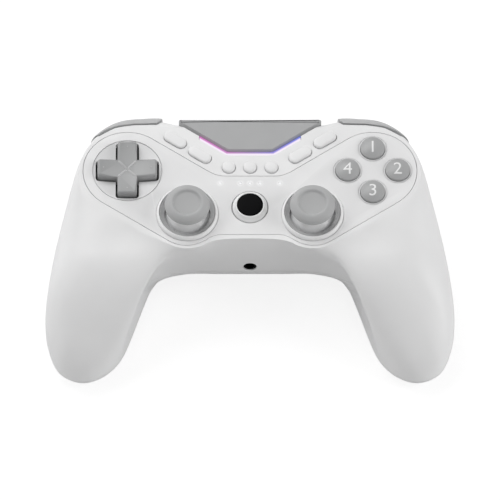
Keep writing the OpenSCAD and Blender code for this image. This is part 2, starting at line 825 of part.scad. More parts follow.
module bumper(s) {
    color("gray")
    mirrored(s)
        difference() {
            union() {
                intersection() {
                    skin_strip();
                    translate([0, 0, bumper_lo + run + press_gap])
                        linear_extrude(face_z)
                            bumper_zone(-run - 0.25);
                }
                translate([key_x, key_y + 0.3, key_z])
                    cube([2, 4, 2]);
                for (x = ear_x)
                    translate([x, 0, 0])
                        rotate([90, 0, 90])
                            linear_extrude(2)
                                polygon(rounded([[bumper_pin_y - 2, bumper_pin_z + 2, 1.9],
                                    [42.6, bumper_pin_z + 1.4, 0], [43.8, bumper_pin_z - 3, 0],
                                    [bumper_pin_y - 2, bumper_pin_z - 2, 1.9]]));
            }
            translate([ear_x[0] - 1, bumper_pin_y, bumper_pin_z])
                rotate([0, 90, 0])
                    cylinder(d = bumper_pin_d + 0.6, h = ear_x[1] - ear_x[0] + 4);
        }
}
module left_bumper() {
    bumper(-1);
}
module right_bumper() {
    bumper(1);
}

// trigger: hooked blade on an arm with a hub on its pin
trigger_y = trigger_pin_y + trigger_reach;
arm_w = 9 * kx;
arm_x0 = bay_x1 - 16.5 * kx;
module trigger(s) {
    color("gray")
    mirrored(s)
        difference() {
            union() {
                translate([bay_x0 + 1.2, 0, 0])
                    rotate([90, 0, 90])
                        linear_extrude(blade_w)
                            translate([trigger_y, trigger_pin_z])
                                polygon(rounded([[-9.7, -0.2, 1.6], [-5.2, -0.4, 6], [0.2, -5.6, 8],
                                    [-0.4, -15.2, 1], [-3.4, -16, 1], [-7.1, -8.6, 8],
                                    [-9.7, -4.6, 1.5]]));
                translate([arm_x0, 0, 0])
                    rotate([90, 0, 90])
                        linear_extrude(arm_w)
                            translate([trigger_pin_y, trigger_pin_z])
                                polygon([[0, 1.8], [trigger_reach - 7.7, -1],
                                    [trigger_reach - 7.7, -4.2], [0, -3]]);
                translate([arm_x0, trigger_pin_y, trigger_pin_z])
                    rotate([0, 90, 0])
                        cylinder(d = 5.6, h = arm_w);
            }
            translate([0, trigger_pin_y, trigger_pin_z])
                rotate([0, 90, 0])
                    cylinder(d = trigger_pin_d + 0.6, h = 80);
        }
}
module left_trigger() {
    trigger(-1);
}
module right_trigger() {
    trigger(1);
}

// bracket: two cheeks that hold both pins, and a wall that closes the trigger bay
cheek_x = [bay_x0 + 3.2, bay_x1 - 4.4 * kx];
cheek_w = 2;
bracket_y = trigger_pin_y - 5;
bracket_back = trigger_pin_y + 3.4;
bracket_t = 1.8;
bracket_z = part_z - 5.6;
bracket_top = face_z - 4.8;
pin_l = cheek_x[1] + cheek_w - cheek_x[0];
module bracket(s) {
    color("dimgray")
    mirrored(s)
        difference() {
            union() {
                for (x = cheek_x)
                    translate([x, 0, 0])
                        rotate([90, 0, 90])
                            linear_extrude(cheek_w)
                                polygon([[bracket_y, bracket_z], [bracket_back, bracket_z],
                                    [bracket_back, bracket_top - 7.2], [bracket_back - 0.8, bracket_top - 2],
                                    [bracket_back - 2.2, bracket_top], [bracket_y + 3.1, bracket_top],
                                    [bracket_y + 3.1, bracket_top - 2.2], [bracket_y, bracket_top - 2.2]]);
                translate([cheek_x[0], bracket_back - bracket_t, bracket_z])
                    cube([pin_l, bracket_t, 5]);
                translate([cheek_x[0], bracket_y, bracket_z])
                    cube([pin_l, bracket_t, bracket_top - 2.2 - bracket_z]);
            }
            translate([0, trigger_pin_y, trigger_pin_z])
                rotate([0, 90, 0])
                    cylinder(d = trigger_pin_d + 0.1, h = 80);
            translate([0, bumper_pin_y, bumper_pin_z])
                rotate([0, 90, 0])
                    cylinder(d = bumper_pin_d + 0.1, h = 80);
        }
}
module left_bracket() {
    bracket(-1);
}
module right_bracket() {
    bracket(1);
}
module shoulder_pins() {
    color("silver")
    for (s = [-1, 1])
        mirrored(s) {
            translate([cheek_x[0], trigger_pin_y, trigger_pin_z])
                rotate([0, 90, 0])
                    cylinder(d = trigger_pin_d, h = pin_l);
            translate([cheek_x[0], bumper_pin_y, bumper_pin_z])
                rotate([0, 90, 0])
                    cylinder(d = bumper_pin_d, h = pin_l);
        }
}

// torsion spring round the trigger pin, as a wire that winds along X
wire_r = 0.35;
coil_r = 2.3;
turns = 3;
NW = turns * 12;
coil_x = arm_x0 + arm_w + 0.7;
coil_l = cheek_x[1] - coil_x - 0.5;
function wire_at(k) = [coil_x + coil_l * k / NW, coil_r * cos(30 * k), coil_r * sin(30 * k)];
function wire_ring(k) = let (a = 30 * k, r = [0, cos(a), sin(a)]) [for (q = [0 : 5])
    wire_at(k) + wire_r * (cos(60 * q) * r + sin(60 * q) * [1, 0, 0])];
module spring(s) {
    color("silver")
    mirrored(s)
        translate([0, trigger_pin_y, trigger_pin_z])
            polyhedron(concat([for (k = [0 : NW]) each wire_ring(k)], [wire_at(0), wire_at(NW)]), concat(
                [for (k = [0 : NW - 1]) for (q = [0 : 5]) let (a = 6 * k + q, b = 6 * k + (q + 1) % 6)
                    each [[a, b + 6, b], [a, a + 6, b + 6]]],
                [for (q = [0 : 5]) let (p = (q + 1) % 6, m = 6 * NW + 6)
                    each [[m, q, p], [m + 1, 6 * NW + p, 6 * NW + q]]]));
}
module left_trigger_spring() {
    spring(-1);
}
module right_trigger_spring() {
    spring(1);
}

// circuit board, with corners cut back for the brackets and holes for its screws
module main_board() {
    color("darkgreen")
    translate([0, 0, board_z])
        linear_extrude(board_t)
            difference() {
                scale([kx, 1])
                    polygon(rounded(both([[29, 38, 2], [29, bracket_y - 0.8, 1], [57, bracket_y - 1, 6],
                        [58, 12, 4], [40, -8, 4], [15, -8, 3], [12, -2.9, 1]])));
                for (p = board_hole_at)
                    translate(p)
                        circle(d = board_screw_d + 2 * seat);
            }
}
// silicone pads under the cross pad and under the face buttons: a sheet with one stud per key
module membrane(x, top, d, at) {
    top_y = bracket_y - 1.4 - cluster_y;
    color("lightgray")
    translate([x, cluster_y, board_top + seat]) {
        linear_extrude(0.8)
            polygon(rounded([[-13, -13, 5], [13, -13, 5], [13, top_y, 5], [-13, top_y, 5]]));
        for (p = at)
            translate([p[0], p[1] * 0.86, 0])
                cylinder(d1 = d + 1.6, d2 = d, h = top - board_top - seat);
    }
}
module pad_membrane() {
    membrane(-pad_x, pad_flange_z - seat, 4, [for (p = button_at) p * 0.75]);
    color("lightgray")
    translate([-pad_x, cluster_y, board_top + seat])
        cylinder(d = 4, h = pad_flange_z - 1.6 - seat - board_top - seat);
}
module button_membrane() {
    membrane(pad_x, face_z - plate_t - 3 - seat, 2.8, [for (p = button_at) [p[0], p[1] / 0.86]]);
}
// tact switches under the menu, pill and home buttons
flange_z = face_z - top_t - 2.4;
module menu_switch(x, y, top) {
    translate([x - 2.2, y - 2.2, board_top + seat])
        cube([4.4, 4.4, top - menu_travel - run - 1 - board_top - seat]);
    translate([x, y, board_top + seat])
        cylinder(d = 2, h = top - menu_travel - run - board_top - seat);
}
module menu_switches() {
    color("dimgray") {
        for (k = [-1 : 1])
            menu_switch(k * menu_pitch, menu_y, flange_z);
        for (s = [-1, 1])
            for (p = pill_at)
                menu_switch(s * p[0], p[1], flange_z);
        menu_switch(0, home_y, face_z - 5);
    }
}
module bumper_switches() {
    color("dimgray")
    for (s = [-1, 1])
        mirrored(s) {
            translate([key_x - 1.2, bracket_y + bracket_t + seat, key_z - 1.2])
                cube([4.4, 4.4, 3.8]);
            translate([key_x + 1, key_y, key_z + 1])
                rotate([90, 0, 0])
                    cylinder(d = 2, h = 3);
        }
}

// audio socket: a sleeve with its bore open to the front, and a block on the board
jack_y = -9.6;
module audio_jack() {
    color("black")
    difference() {
        union() {
            translate([0, jack_y + 9, jack_z])
                rotate([90, 0, 0])
                    cylinder(d = jack_od, h = 10.4);
            translate([-3, jack_y + 2.2, jack_z - 2.8])
                cube([6, 11, board_z - seat - jack_z + 2.8]);
        }
        translate([0, jack_y + 12, jack_z])
            rotate([90, 0, 0])
                cylinder(d = jack_d, h = 20);
    }
}
// data socket: an open metal sleeve with a tongue
module usb_socket() {
    color("silver") {
        translate([0, cover_back - 0.6, usb_z])
            rotate([90, 0, 0])
                linear_extrude(7.2)
                    difference() {
                        usb_2d(0.35);
                        usb_2d(0);
                    }
        translate([-3.2, cover_back - 7.8, usb_z - 0.35])
            cube([6.4, 5.6, 0.7]);
        translate([-4.4, cover_back - 8.6, board_top + seat])
            cube([8.8, 1.2, usb_z + usb_h / 2 - board_top]);
    }
}

// vibration motors lying in the grips, each with an eccentric weight on its shaft
motor_x = 56 * kx;
motor_y = -8;
motor_z = under_z + 11;
motor_l = 13;
motor_rib_y = [motor_y + 2, motor_y + 9];
module motor(s) {
    color("silver")
    mirrored(s)
        translate([motor_x, motor_y, motor_z]) {
            rotate([-90, 0, 0])
                cylinder(d = motor_d, h = motor_l);
            rotate([90, 0, 0])
                cylinder(d = motor_shaft_d, h = 7);
        }
}
module left_motor() {
    motor(-1);
}
module right_motor() {
    motor(1);
}
module motor_weight(s) {
    color("dimgray")
    mirrored(s)
        translate([motor_x, motor_y - 1, motor_z])
            rotate([90, 0, 0])
                difference() {
                    union() {
                        cylinder(d = 4.4, h = 5);
                        intersection() {
                            cylinder(d = motor_d - 1, h = 5);
                            translate([-10, -10, -1])
                                cube([20, 10, 10]);
                        }
                    }
                    translate([0, 0, -1])
                        cylinder(d = motor_shaft_d + 0.3, h = 8);
                }
}
module left_motor_weight() {
    motor_weight(-1);
}
module right_motor_weight() {
    motor_weight(1);
}

module screw(head_d, d, l) {
    difference() {
        union() {
            cylinder(d = head_d, h = 1.6);
            cylinder(d = d, h = l);
        }
        translate([0, 0, -1])
            cylinder(d = head_d * 0.5, h = 1.9, $fn = 6);
    }
}
module case_screws() {
    color("silver")
    for (p = screw_at)
        translate([p[0], p[1], p[2] - 2 - 1.6 - seat])
            screw(screw_head_d, screw_d, 10);
}
module board_screws() {
    color("silver")
    for (p = board_hole_at)
        translate([p[0], p[1], board_z - 1.6 - seat])
            screw(4, board_screw_d, 8);
}

front_shell();
back_shell();
faceplate();
top_cover();
light_bar();
left_stick_ring();
right_stick_ring();
indicator_lenses();
dpad();
dpad_pivot();
button_north();
button_east();
button_south();
button_west();
home_button();
home_lens();
menu_left();
menu_middle();
menu_right();
pill_left_outer();
pill_left_inner();
pill_right_inner();
pill_right_outer();
left_stick_cap();
right_stick_cap();
left_stick_shaft();
right_stick_shaft();
left_stick_yoke();
right_stick_yoke();
left_stick_seat();
right_stick_seat();
left_stick_frame();
right_stick_frame();
left_bumper();
right_bumper();
left_trigger();
right_trigger();
left_bracket();
right_bracket();
shoulder_pins();
left_trigger_spring();
right_trigger_spring();
main_board();
pad_membrane();
button_membrane();
menu_switches();
bumper_switches();
audio_jack();
usb_socket();
left_motor();
right_motor();
left_motor_weight();
right_motor_weight();
case_screws();
board_screws();
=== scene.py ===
"""Looks of the twin-grip game controller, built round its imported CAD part."""
import json
import math

import bmesh
import bpy
import numpy as np
from mathutils import Matrix, Vector


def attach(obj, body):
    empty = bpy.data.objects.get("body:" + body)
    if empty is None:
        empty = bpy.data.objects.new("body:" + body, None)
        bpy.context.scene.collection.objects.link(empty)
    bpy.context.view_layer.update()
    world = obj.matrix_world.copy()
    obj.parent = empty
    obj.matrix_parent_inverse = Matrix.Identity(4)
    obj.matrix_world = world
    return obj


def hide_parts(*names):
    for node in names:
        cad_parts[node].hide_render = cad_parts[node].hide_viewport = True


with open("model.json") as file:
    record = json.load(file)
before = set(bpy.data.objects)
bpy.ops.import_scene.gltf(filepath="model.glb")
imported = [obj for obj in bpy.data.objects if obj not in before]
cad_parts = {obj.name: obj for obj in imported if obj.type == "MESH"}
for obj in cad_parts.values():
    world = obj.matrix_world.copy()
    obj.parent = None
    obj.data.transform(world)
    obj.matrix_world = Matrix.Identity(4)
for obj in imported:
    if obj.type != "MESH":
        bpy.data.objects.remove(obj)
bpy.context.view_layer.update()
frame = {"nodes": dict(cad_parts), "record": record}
nodes = frame["nodes"]
scene = bpy.context.scene
MM = 0.001

# sizes of the part in millimetres, as in its source
FACE = 40.0
PART = 17.5
UNDER = 4.0
WALL = 2.0
TOP_T = 3.4
SEAM = 0.3
SEAT = 0.15
RUN = 0.3
PLATE_T = 2.0
END_R = 16.8
LOBE_R = 13.3
SLANT = math.radians(33.7)
PAD = (46.5, 20.0)
STICK = (23.7, 1.0)
HOME_Y = 4.0
DROOP = 11.7
DROOP_FROM, DROOP_RUN = -14, 40
WIDTH, DRAWN_WIDTH = 155, 154.6
COVER_Y, COVER_HW, COVER_X, COVER_BACK, LID_BACK = 28.3, 27.2, 8.6, 42.6, 43.1
BAR_W, BAR_X = 1.5, 19.2
INDICATOR_X, INDICATOR_Y = (-11.3, -3.7, 0, 3.7, 11.3), 14.4
JACK_Z = 21.3
PILL_R, MENU_R = 2.25, 2.5
KEY_GAP, GAP_SHIFT = 0.17, (0.05, -0.12)
PIN = (37, 24.6)  # trigger hinge, in (y, z)
# outlines of the shells, one row per station from the back middle round to the front middle:
# joint x, y, edge of the face x, y, edge of the underside x, y, power of the upper and lower section
STATIONS = [
    [0, 42.6, 0, 38.5, 0, 31, 1.9, 2],
    [21, 42.8, 20, 38.5, 17, 31, 1.9, 2],
    [36, 49, 33, 39, 30, 31, 1.9, 2],
    [47.5, 48.3, 46.5, 38.5, 38, 30, 1.9, 2],
    [56, 41.5, 55.5, 36, 44, 27, 1.9, 2],
    [62, 33, 61.5, 29.3, 48, 22, 1.9, 2],
    [66.8, 23, 64.5, 20, 49, 16, 1.9, 2],
    [70.8, 9, 62.5, 11, 48, 11, 1.9, 2],
    [74, -5.5, 57.5, 5.6, 46, 7, 1.9, 2],
    [76.2, -19, 53, 2.6, 44, 4, 1.9, 2],
    [77.3, -30, 48.5, -0.4, 42, 2, 1.9, 2],
    [76.3, -40, 44.5, -3, 40, 1, 1.9, 2],
    [72, -49, 41, -5.4, 38, 0, 1.9, 2],
    [64, -52.7, 38, -7.4, 35.5, -1, 1.8, 2],
    [55.8, -50.3, 35.5, -9, 34, -0.5, 1.65, 2],
    [48.8, -43.5, 33, -10.7, 33, 1, 1.5, 2],
    [45.7, -33.5, 30.5, -12.2, 31, 4, 1.4, 1.8],
    [43.3, -22.2, 27.5, -13.5, 23.5, 5.5, 1.3, 1.5],
    [36.5, -15, 23.7, -14, 17, 4, 1.2, 1.3],
    [25, -11.6, 19, -13.2, 13, 4, 1.15, 1.3],
    [12, -11.4, 12.5, -10.4, 7, 3.5, 1.15, 1.3],
    [0, -11.4, 0, -9.7, 0, 3.5, 1.15, 1.3]]


# ---------------------------------------------------------------- mesh helpers
def build(name, verts, faces, sharp=32):
    """Mesh object from millimetre points, shaded smooth up to an angle in degrees."""
    mesh = bpy.data.meshes.new(name)
    mesh.from_pydata([tuple(c * MM for c in v) for v in verts], [], faces)
    mesh.update()
    obj = bpy.data.objects.new(name, mesh)
    scene.collection.objects.link(obj)
    soften(obj, sharp)
    return obj


def soften(obj, sharp):
    obj.data.shade_smooth()
    obj.data.set_sharp_from_angle(angle=math.radians(sharp))


def settle(obj):
    """Applies an object's modifiers."""
    graph = bpy.context.evaluated_depsgraph_get()
    mesh = bpy.data.meshes.new_from_object(obj.evaluated_get(graph))
    obj.modifiers.clear()
    old = obj.data
    obj.data = mesh
    bpy.data.meshes.remove(old)


def combine(obj, others, how="DIFFERENCE", sharp=32, own=False):
    """Boolean of an object with others, which it uses up."""
    for other in others:
        m = obj.modifiers.new("shape", "BOOLEAN")
        m.object = other
        m.operation = how
        m.solver = "EXACT"
        m.use_self = own
    settle(obj)
    for other in others:
        bpy.data.objects.remove(other)
    soften(obj, sharp)


def join(name, objs, sharp=32):
    """One object from several, without a boolean."""
    verts, faces = [], []
    for o in objs:
        base = len(verts)
        verts += [tuple(c / MM for c in v.co) for v in o.data.vertices]
        faces += [[base + i for i in p.vertices] for p in o.data.polygons]
        bpy.data.objects.remove(o)
    return build(name, verts, faces, sharp)


def flip_x(obj, name):
    """Mirror image of an object across the middle."""
    verts = [(-v.co.x / MM, v.co.y / MM, v.co.z / MM) for v in obj.data.vertices]
    faces = [list(reversed(p.vertices)) for p in obj.data.polygons]
    return build(name, verts, faces)


def round_edges(obj, width, steps=3, limit=40, clamp=True):
    m = obj.modifiers.new("round", "BEVEL")
    m.width = width * MM
    m.segments = steps
    m.limit_method = "ANGLE"
    m.angle_limit = math.radians(limit)
    m.use_clamp_overlap = clamp
    settle(obj)
    soften(obj, 50)


def rounded(points, steps=10):
    """Outline with its corners [x, y, radius] rounded off."""
    out = []
    n = len(points)
    for i, (x, y, r) in enumerate(points):
        b = np.array([x, y], float)
        if r < 0.01:
            out.append((x, y))
            continue
        a, c = (np.array(points[j % n][:2], float) for j in (i - 1, i + 1))
        u, v = (a - b) / np.linalg.norm(a - b), (c - b) / np.linalg.norm(c - b)
        half = math.acos(max(-1, min(1, float(u @ v)))) / 2
        if half > math.pi / 2 - 1e-4:
            out.append((x, y))
            continue
        mid = b + (u + v) / np.linalg.norm(u + v) * r / math.sin(half)
        s, t = b + u * r / math.tan(half) - mid, b + v * r / math.tan(half) - mid
        w0 = math.atan2(s[1], s[0])
        dw = math.atan2(s[0] * t[1] - s[1] * t[0], float(s @ t))
        for k in range(steps + 1):
            w = w0 + dw * k / steps
            out.append((mid[0] + r * math.cos(w), mid[1] + r * math.sin(w)))
    return out


def both(points):
    return points + [(-p[0], p[1], p[2]) for p in reversed(points)]


def tidy_outline(points):
    """Drops repeated points and turns the outline counter-clockwise."""
    out = []
    for p in points:
        if not out or math.dist(p, out[-1]) > 1e-4:
            out.append((float(p[0]), float(p[1])))
    if math.dist(out[0], out[-1]) < 1e-4:
        out.pop()
    area = sum(out[i - 1][0] * out[i][1] - out[i][0] * out[i - 1][1] for i in range(len(out)))
    return out if area > 0 else out[::-1]


def inset(points, d):
    """Outline moved inwards by d (outwards if it is negative)."""
    if abs(d) < 1e-9:
        return list(points)
    out = []
    n = len(points)
    for i in range(n):
        a, b, c = (np.array(points[j % n]) for j in (i - 1, i, i + 1))
        e, f = (b - a) / np.linalg.norm(b - a), (c - b) / np.linalg.norm(c - b)
        p, q = np.array([-e[1], e[0]]), np.array([-f[1], f[0]])
        move = (p + q) / max(0.35, 1 + float(p @ q))
        out.append(tuple(b + d * move))
    return out


def slab(name, outline, levels, sharp=32):
    """Solid stacked from one outline: levels are (inset, height)."""
    outline = tidy_outline(outline)
    n = len(outline)
    verts, faces = [], []
    for d, z in levels:
        verts += [(x, y, z) for x, y in inset(outline, d)]
    for k in range(len(levels) - 1):
        for j in range(n):
            i = (j + 1) % n
            faces.append([k * n + j, k * n + i, k * n + n + i, k * n + n + j])
    faces.append(list(reversed(range(n))))
    faces.append([len(verts) - n + j for j in range(n)])
    if levels[0][1] > levels[-1][1]:
        faces = [f[::-1] for f in faces]
    return build(name, verts, faces, sharp)


def along_x(obj):
    """Turns a slab drawn in (y, z) and stacked in x to its place."""
    obj.data.transform(Matrix(((0, 0, 1, 0), (1, 0, 0, 0), (0, 1, 0, 0), (0, 0, 0, 1))))
    return obj


def lathe(name, profile, at=(0, 0, 0), steps=96, sharp=32):
    """Turned solid from (radius, height) points, listed from the bottom up on the outside."""
    verts, faces, rings = [], [], []
    for r, z in profile:
        if r < 1e-6:
            rings.append([len(verts)])
            verts.append((at[0], at[1], at[2] + z))
            continue
        rings.append(list(range(len(verts), len(verts) + steps)))
        for k in range(steps):
            a = 2 * math.pi * k / steps
            verts.append((at[0] + r * math.cos(a), at[1] + r * math.sin(a), at[2] + z))
    for lo, hi in zip(rings, rings[1:]):
        for k in range(steps):
            m = (k + 1) % steps
            if len(lo) == 1 and len(hi) == 1:
                continue
            if len(lo) == 1:
                faces.append([lo[0], hi[m], hi[k]])
            elif len(hi) == 1:
                faces.append([lo[k], lo[m], hi[0]])
            else:
                faces.append([lo[k], lo[m], hi[m], hi[k]])
    return build(name, verts, faces, sharp)


def arc(cx, cz, r, a0, a1, n=8, squash=1.0):
    """Points of an arc in a profile, angles in degrees."""
    return [(cx + r * math.cos(math.radians(a0 + (a1 - a0) * k / n)),
             cz + squash * r * math.sin(math.radians(a0 + (a1 - a0) * k / n))) for k in range(n + 1)]


def disc(name, x, y, r, z0, z1, flare=0.0, steps=64):
    """Round cutter that flares out at its top."""
    top = [(r, z1 - 1.0), (r + flare * 0.35, z1 - 1.0 + flare * 0.65), (r + flare, z1 - 1.0 + flare),
           (r + flare, z1)] if flare else [(r, z1)]
    return lathe(name, [(0, z0), (r, z0)] + top + [(0, z1)], (x, y, 0), steps)


# ---------------------------------------------------------------- shell skin
NS = len(STATIONS)
NC = 2 * NS - 2
FULLEST = 1.9  # power of the roundest upper sections


def station(i):
    k = i % NC
    return STATIONS[k] if k < NS else STATIONS[NC - k]


def spline(values, per):
    """Closed uniform Catmull-Rom curve with so many points per station."""
    v = np.array(values, float)
    a, b, c, d = np.roll(v, 1, 0), v, np.roll(v, -1, 0), np.roll(v, -2, 0)
    t = (np.arange(per) / per)[None, :, None]
    a, b, c, d = (m[:, None, :] for m in (a, b, c, d))
    p = 0.5 * (2 * b + (c - a) * t + (2 * a - 5 * b + 4 * c - d) * t ** 2
               + (3 * b - a - 3 * c + d) * t ** 3)
    return p.reshape(-1, v.shape[1])


def skin_curves(per):
    rows = []
    for i in range(NC):
        s = station(i)
        sign = 1 if i % NC < NS else -1
        scale = sign * WIDTH / DRAWN_WIDTH
        rows.append([s[0] * scale, s[1], s[2] * scale, s[3], s[4] * scale, s[5], s[6], s[7]])
    return spline(rows, per)


def moved_in(c, d):
    """Closed curve moved inwards by d, a number or one per point."""
    step = np.roll(c, -1, 0) - np.roll(c, 1, 0)
    step /= np.linalg.norm(step, axis=1)[:, None]
    return c + d * np.stack([step[:, 1], -step[:, 0]], 1)


def drop(y):
    """How far the grips sink, by a smooth step towards the player."""
    u = np.clip((DROOP_FROM - y) / DROOP_RUN, 0, 1)
    return DROOP * u * u * (3 - 2 * u)


def flank(x, away):
    """Dip of the shell beside the face, where it passes from the belly to the grips."""
    near = np.clip((54 - x) / 15, 0, 1) * np.clip((x - 17) / 11, 0, 1)
    return 2.6 * near ** 2 * (3 - 2 * near) * (1 - np.exp(-away / 5)) * np.exp(-(away / 16) ** 2)


def skin_row(curves, f, edge, full, w, z0, z1):
    """One row of the shell skin, f degrees along its section."""
    n = curves[:, full]
    k = np.sin(np.radians(f)) ** (2 / n)
    level = curves[:, edge:edge + 2] + (curves[:, 0:2] - curves[:, edge:edge + 2]) * k[:, None]
    lean = np.clip(FULLEST - n, 0, 1)
    share = k + (1 - k) * (0.4 + 1.6 * lean)
    p = moved_in(level, (w * share)[:, None])
    fall = (1 - math.cos(math.radians(f))) ** (1 - 0.35 * lean)
    z = z0 + (z1 - z0) * fall - drop(p[:, 1])
    if edge == 2:
        away = np.linalg.norm(level - curves[:, 2:4], axis=1)
        z -= flank(np.abs(curves[:, 2]), away) * math.cos(math.radians(f))
    return np.column_stack([p, z])


def half_shell(name, upper, per=10, rows=26, inner_rows=8):
    curves = skin_curves(per)
    n = len(curves)
    edge, full = (2, 6) if upper else (4, 7)
    z_edge = FACE if upper else UNDER
    z_in = FACE - TOP_T if upper else UNDER + WALL
    z_joint = PART + (SEAT / 2 if upper else -SEAT / 2)
    angles = [90 * (k / rows) ** 1.15 for k in range(rows + 1)]
    stack = [skin_row(curves, f, edge, full, 0, z_edge, z_joint) for f in angles]
    stack += [skin_row(curves, 90 * (1 - k / inner_rows), edge, full, WALL, z_in, z_joint)
              for k in range(inner_rows + 1)]
    verts = [tuple(v) for r in stack for v in r]
    faces = []
    for k in range(len(stack) - 1):
        for j in range(n):
            i = (j + 1) % n
            f = [k * n + j, k * n + i, k * n + n + i, k * n + n + j]
            faces.append(f if upper else f[::-1])
    first, last = list(range(n)), [len(verts) - n + j for j in range(n)]
    faces += [first[::-1], last] if upper else [first, last[::-1]]
    return build(name, verts, faces)


# ---------------------------------------------------------------- materials
def wire(tree, out, into):
    tree.links.new(out, into)


def surface(name, tone, rough, grain=0.12, grain_size=0.35, mottle=0.02, vary=0.06, wear=0.0, metal=0.0,
            spec=0.5):
    """Moulded or metal surface with fine grain, uneven gloss, faint mottling and lighter worn edges.
    grain_size is in millimetres; wear is how much lighter the edges go."""
    mat = bpy.data.materials.new(name)
    mat.use_nodes = True
    tree = mat.node_tree
    shader = tree.nodes["Principled BSDF"]
    shader.inputs["Metallic"].default_value = metal
    shader.inputs["Specular IOR Level"].default_value = spec
    place = tree.nodes.new("ShaderNodeTexCoord")

    def noise(scale, detail):
        n = tree.nodes.new("ShaderNodeTexNoise")
        n.inputs["Scale"].default_value = scale
        n.inputs["Detail"].default_value = detail
        wire(tree, place.outputs["Object"], n.inputs["Vector"])
        return n.outputs["Fac"]

    def span(value, lo, hi, a=0.3, b=0.7):
        m = tree.nodes.new("ShaderNodeMapRange")
        for key, v in (("From Min", a), ("From Max", b), ("To Min", lo), ("To Max", hi)):
            m.inputs[key].default_value = v
        wire(tree, value, m.inputs["Value"])
        return m.outputs["Result"]

    def blend(fac, a, b):
        m = tree.nodes.new("ShaderNodeMix")
        m.data_type = "RGBA"
        wire(tree, fac, m.inputs["Factor"])
        for socket, v in ((m.inputs["A"], a), (m.inputs["B"], b)):
            if isinstance(v, tuple):
                socket.default_value = (*v, 1)
            else:
                wire(tree, v, socket)
        return m.outputs["Result"]

    low = tuple(c * (1 - mottle) for c in tone)
    high = tuple(min(1, c * (1 + mottle)) for c in tone)
    colour = blend(span(noise(45, 3), 0, 1), low, high)
    if wear:
        shape = tree.nodes.new("ShaderNodeNewGeometry")
        edge = span(shape.outputs["Pointiness"], 0, wear, 0.52, 0.62)
        lit = tuple(min(1, c * 1.35 + 0.02) for c in tone)
        colour = blend(edge, colour, lit)
    wire(tree, colour, shader.inputs["Base Color"])
    wire(tree, span(noise(260, 4), max(0.02, rough - vary), min(1, rough + vary)), shader.inputs["Roughness"])
    bump = tree.nodes.new("ShaderNodeBump")
    bump.inputs["Strength"].default_value = grain
    bump.inputs["Distance"].default_value = 0.00006
    wire(tree, noise(1 / (grain_size * MM), 2), bump.inputs["Height"])
    wire(tree, bump.outputs["Normal"], shader.inputs["Normal"])
    return mat


def halo(mat, spots, reach, strength):
    """Painted glow round small lamps: white emission on the surface, fading out with the distance from each."""
    tree = mat.node_tree
    place = tree.nodes.new("ShaderNodeTexCoord")
    total = None
    for spot in spots:
        gap = tree.nodes.new("ShaderNodeVectorMath")
        gap.operation = "DISTANCE"
        wire(tree, place.outputs["Object"], gap.inputs[0])
        gap.inputs[1].default_value = spot
        fade = tree.nodes.new("ShaderNodeMapRange")
        fade.interpolation_type = "SMOOTHERSTEP"
        for key, v in (("From Min", 0.0), ("From Max", reach), ("To Min", strength), ("To Max", 0.0)):
            fade.inputs[key].default_value = v
        wire(tree, gap.outputs["Value"], fade.inputs["Value"])
        if total is None:
            total = fade.outputs["Result"]
            continue
        both_lit = tree.nodes.new("ShaderNodeMath")
        both_lit.operation = "ADD"
        wire(tree, total, both_lit.inputs[0])
        wire(tree, fade.outputs["Result"], both_lit.inputs[1])
        total = both_lit.outputs["Value"]
    shader = tree.nodes["Principled BSDF"]
    shader.inputs["Emission Color"].default_value = (1, 1, 1, 1)
    wire(tree, total, shader.inputs["Emission Strength"])


def glow_strip(name):
    """Light guide that runs from pink through violet to blue along X and pales towards its front edge."""
    mat = surface(name, (0.03, 0.02, 0.04), 0.45, grain=0.05, spec=0.15)
    tree = mat.node_tree
    shader = tree.nodes["Principled BSDF"]
    place = tree.nodes.new("ShaderNodeTexCoord")
    split = tree.nodes.new("ShaderNodeSeparateXYZ")
    wire(tree, place.outputs["Object"], split.inputs["Vector"])
    fit = tree.nodes.new("ShaderNodeMapRange")
    fit.inputs["From Min"].default_value = -BAR_X * MM
    fit.inputs["From Max"].default_value = BAR_X * MM
    wire(tree, split.outputs["X"], fit.inputs["Value"])
    ramp = tree.nodes.new("ShaderNodeValToRGB")
    stops = [(0.0, (0.62, 0.16, 0.50)), (0.28, (0.55, 0.22, 0.52)), (0.5, (0.38, 0.26, 0.52)),
             (0.75, (0.27, 0.24, 0.68)), (1.0, (0.16, 0.22, 0.72))]
    while len(ramp.color_ramp.elements) < len(stops):
        ramp.color_ramp.elements.new(0.5)
    for element, (at, c) in zip(ramp.color_ramp.elements, stops):
        element.position = at
        element.color = (*c, 1)
    wire(tree, fit.outputs["Result"], ramp.inputs["Fac"])

    def sum_of(how, a, b):
        m = tree.nodes.new("ShaderNodeMath")
        m.operation = how
        for socket, v in zip(m.inputs, (a, b)):
            if isinstance(v, float):
                socket.default_value = v
            else:
                wire(tree, v, socket)
        return m.outputs["Value"]

    flat = sum_of("SUBTRACT", COVER_Y * MM, split.outputs["Y"])
    aside = sum_of("SUBTRACT", sum_of("ABSOLUTE", split.outputs["X"], 0.0), COVER_X * MM)
    slanted = sum_of("ADD", sum_of("MULTIPLY", aside, math.sin(SLANT)),
                     sum_of("MULTIPLY", flat, math.cos(SLANT)))
    pale = tree.nodes.new("ShaderNodeMapRange")
    pale.interpolation_type = "SMOOTHSTEP"
    pale.inputs["From Min"].default_value = 0.0004
    pale.inputs["From Max"].default_value = 0.0011
    wire(tree, sum_of("MAXIMUM", flat, slanted), pale.inputs["Value"])
    mix = tree.nodes.new("ShaderNodeMix")
    mix.data_type = "RGBA"
    wire(tree, pale.outputs["Result"], mix.inputs["Factor"])
    wire(tree, ramp.outputs["Color"], mix.inputs["A"])
    mix.inputs["B"].default_value = (0.93, 0.84, 0.95, 1)
    wire(tree, mix.outputs["Result"], shader.inputs["Emission Color"])
    shader.inputs["Emission Strength"].default_value = 1.0
    return mat


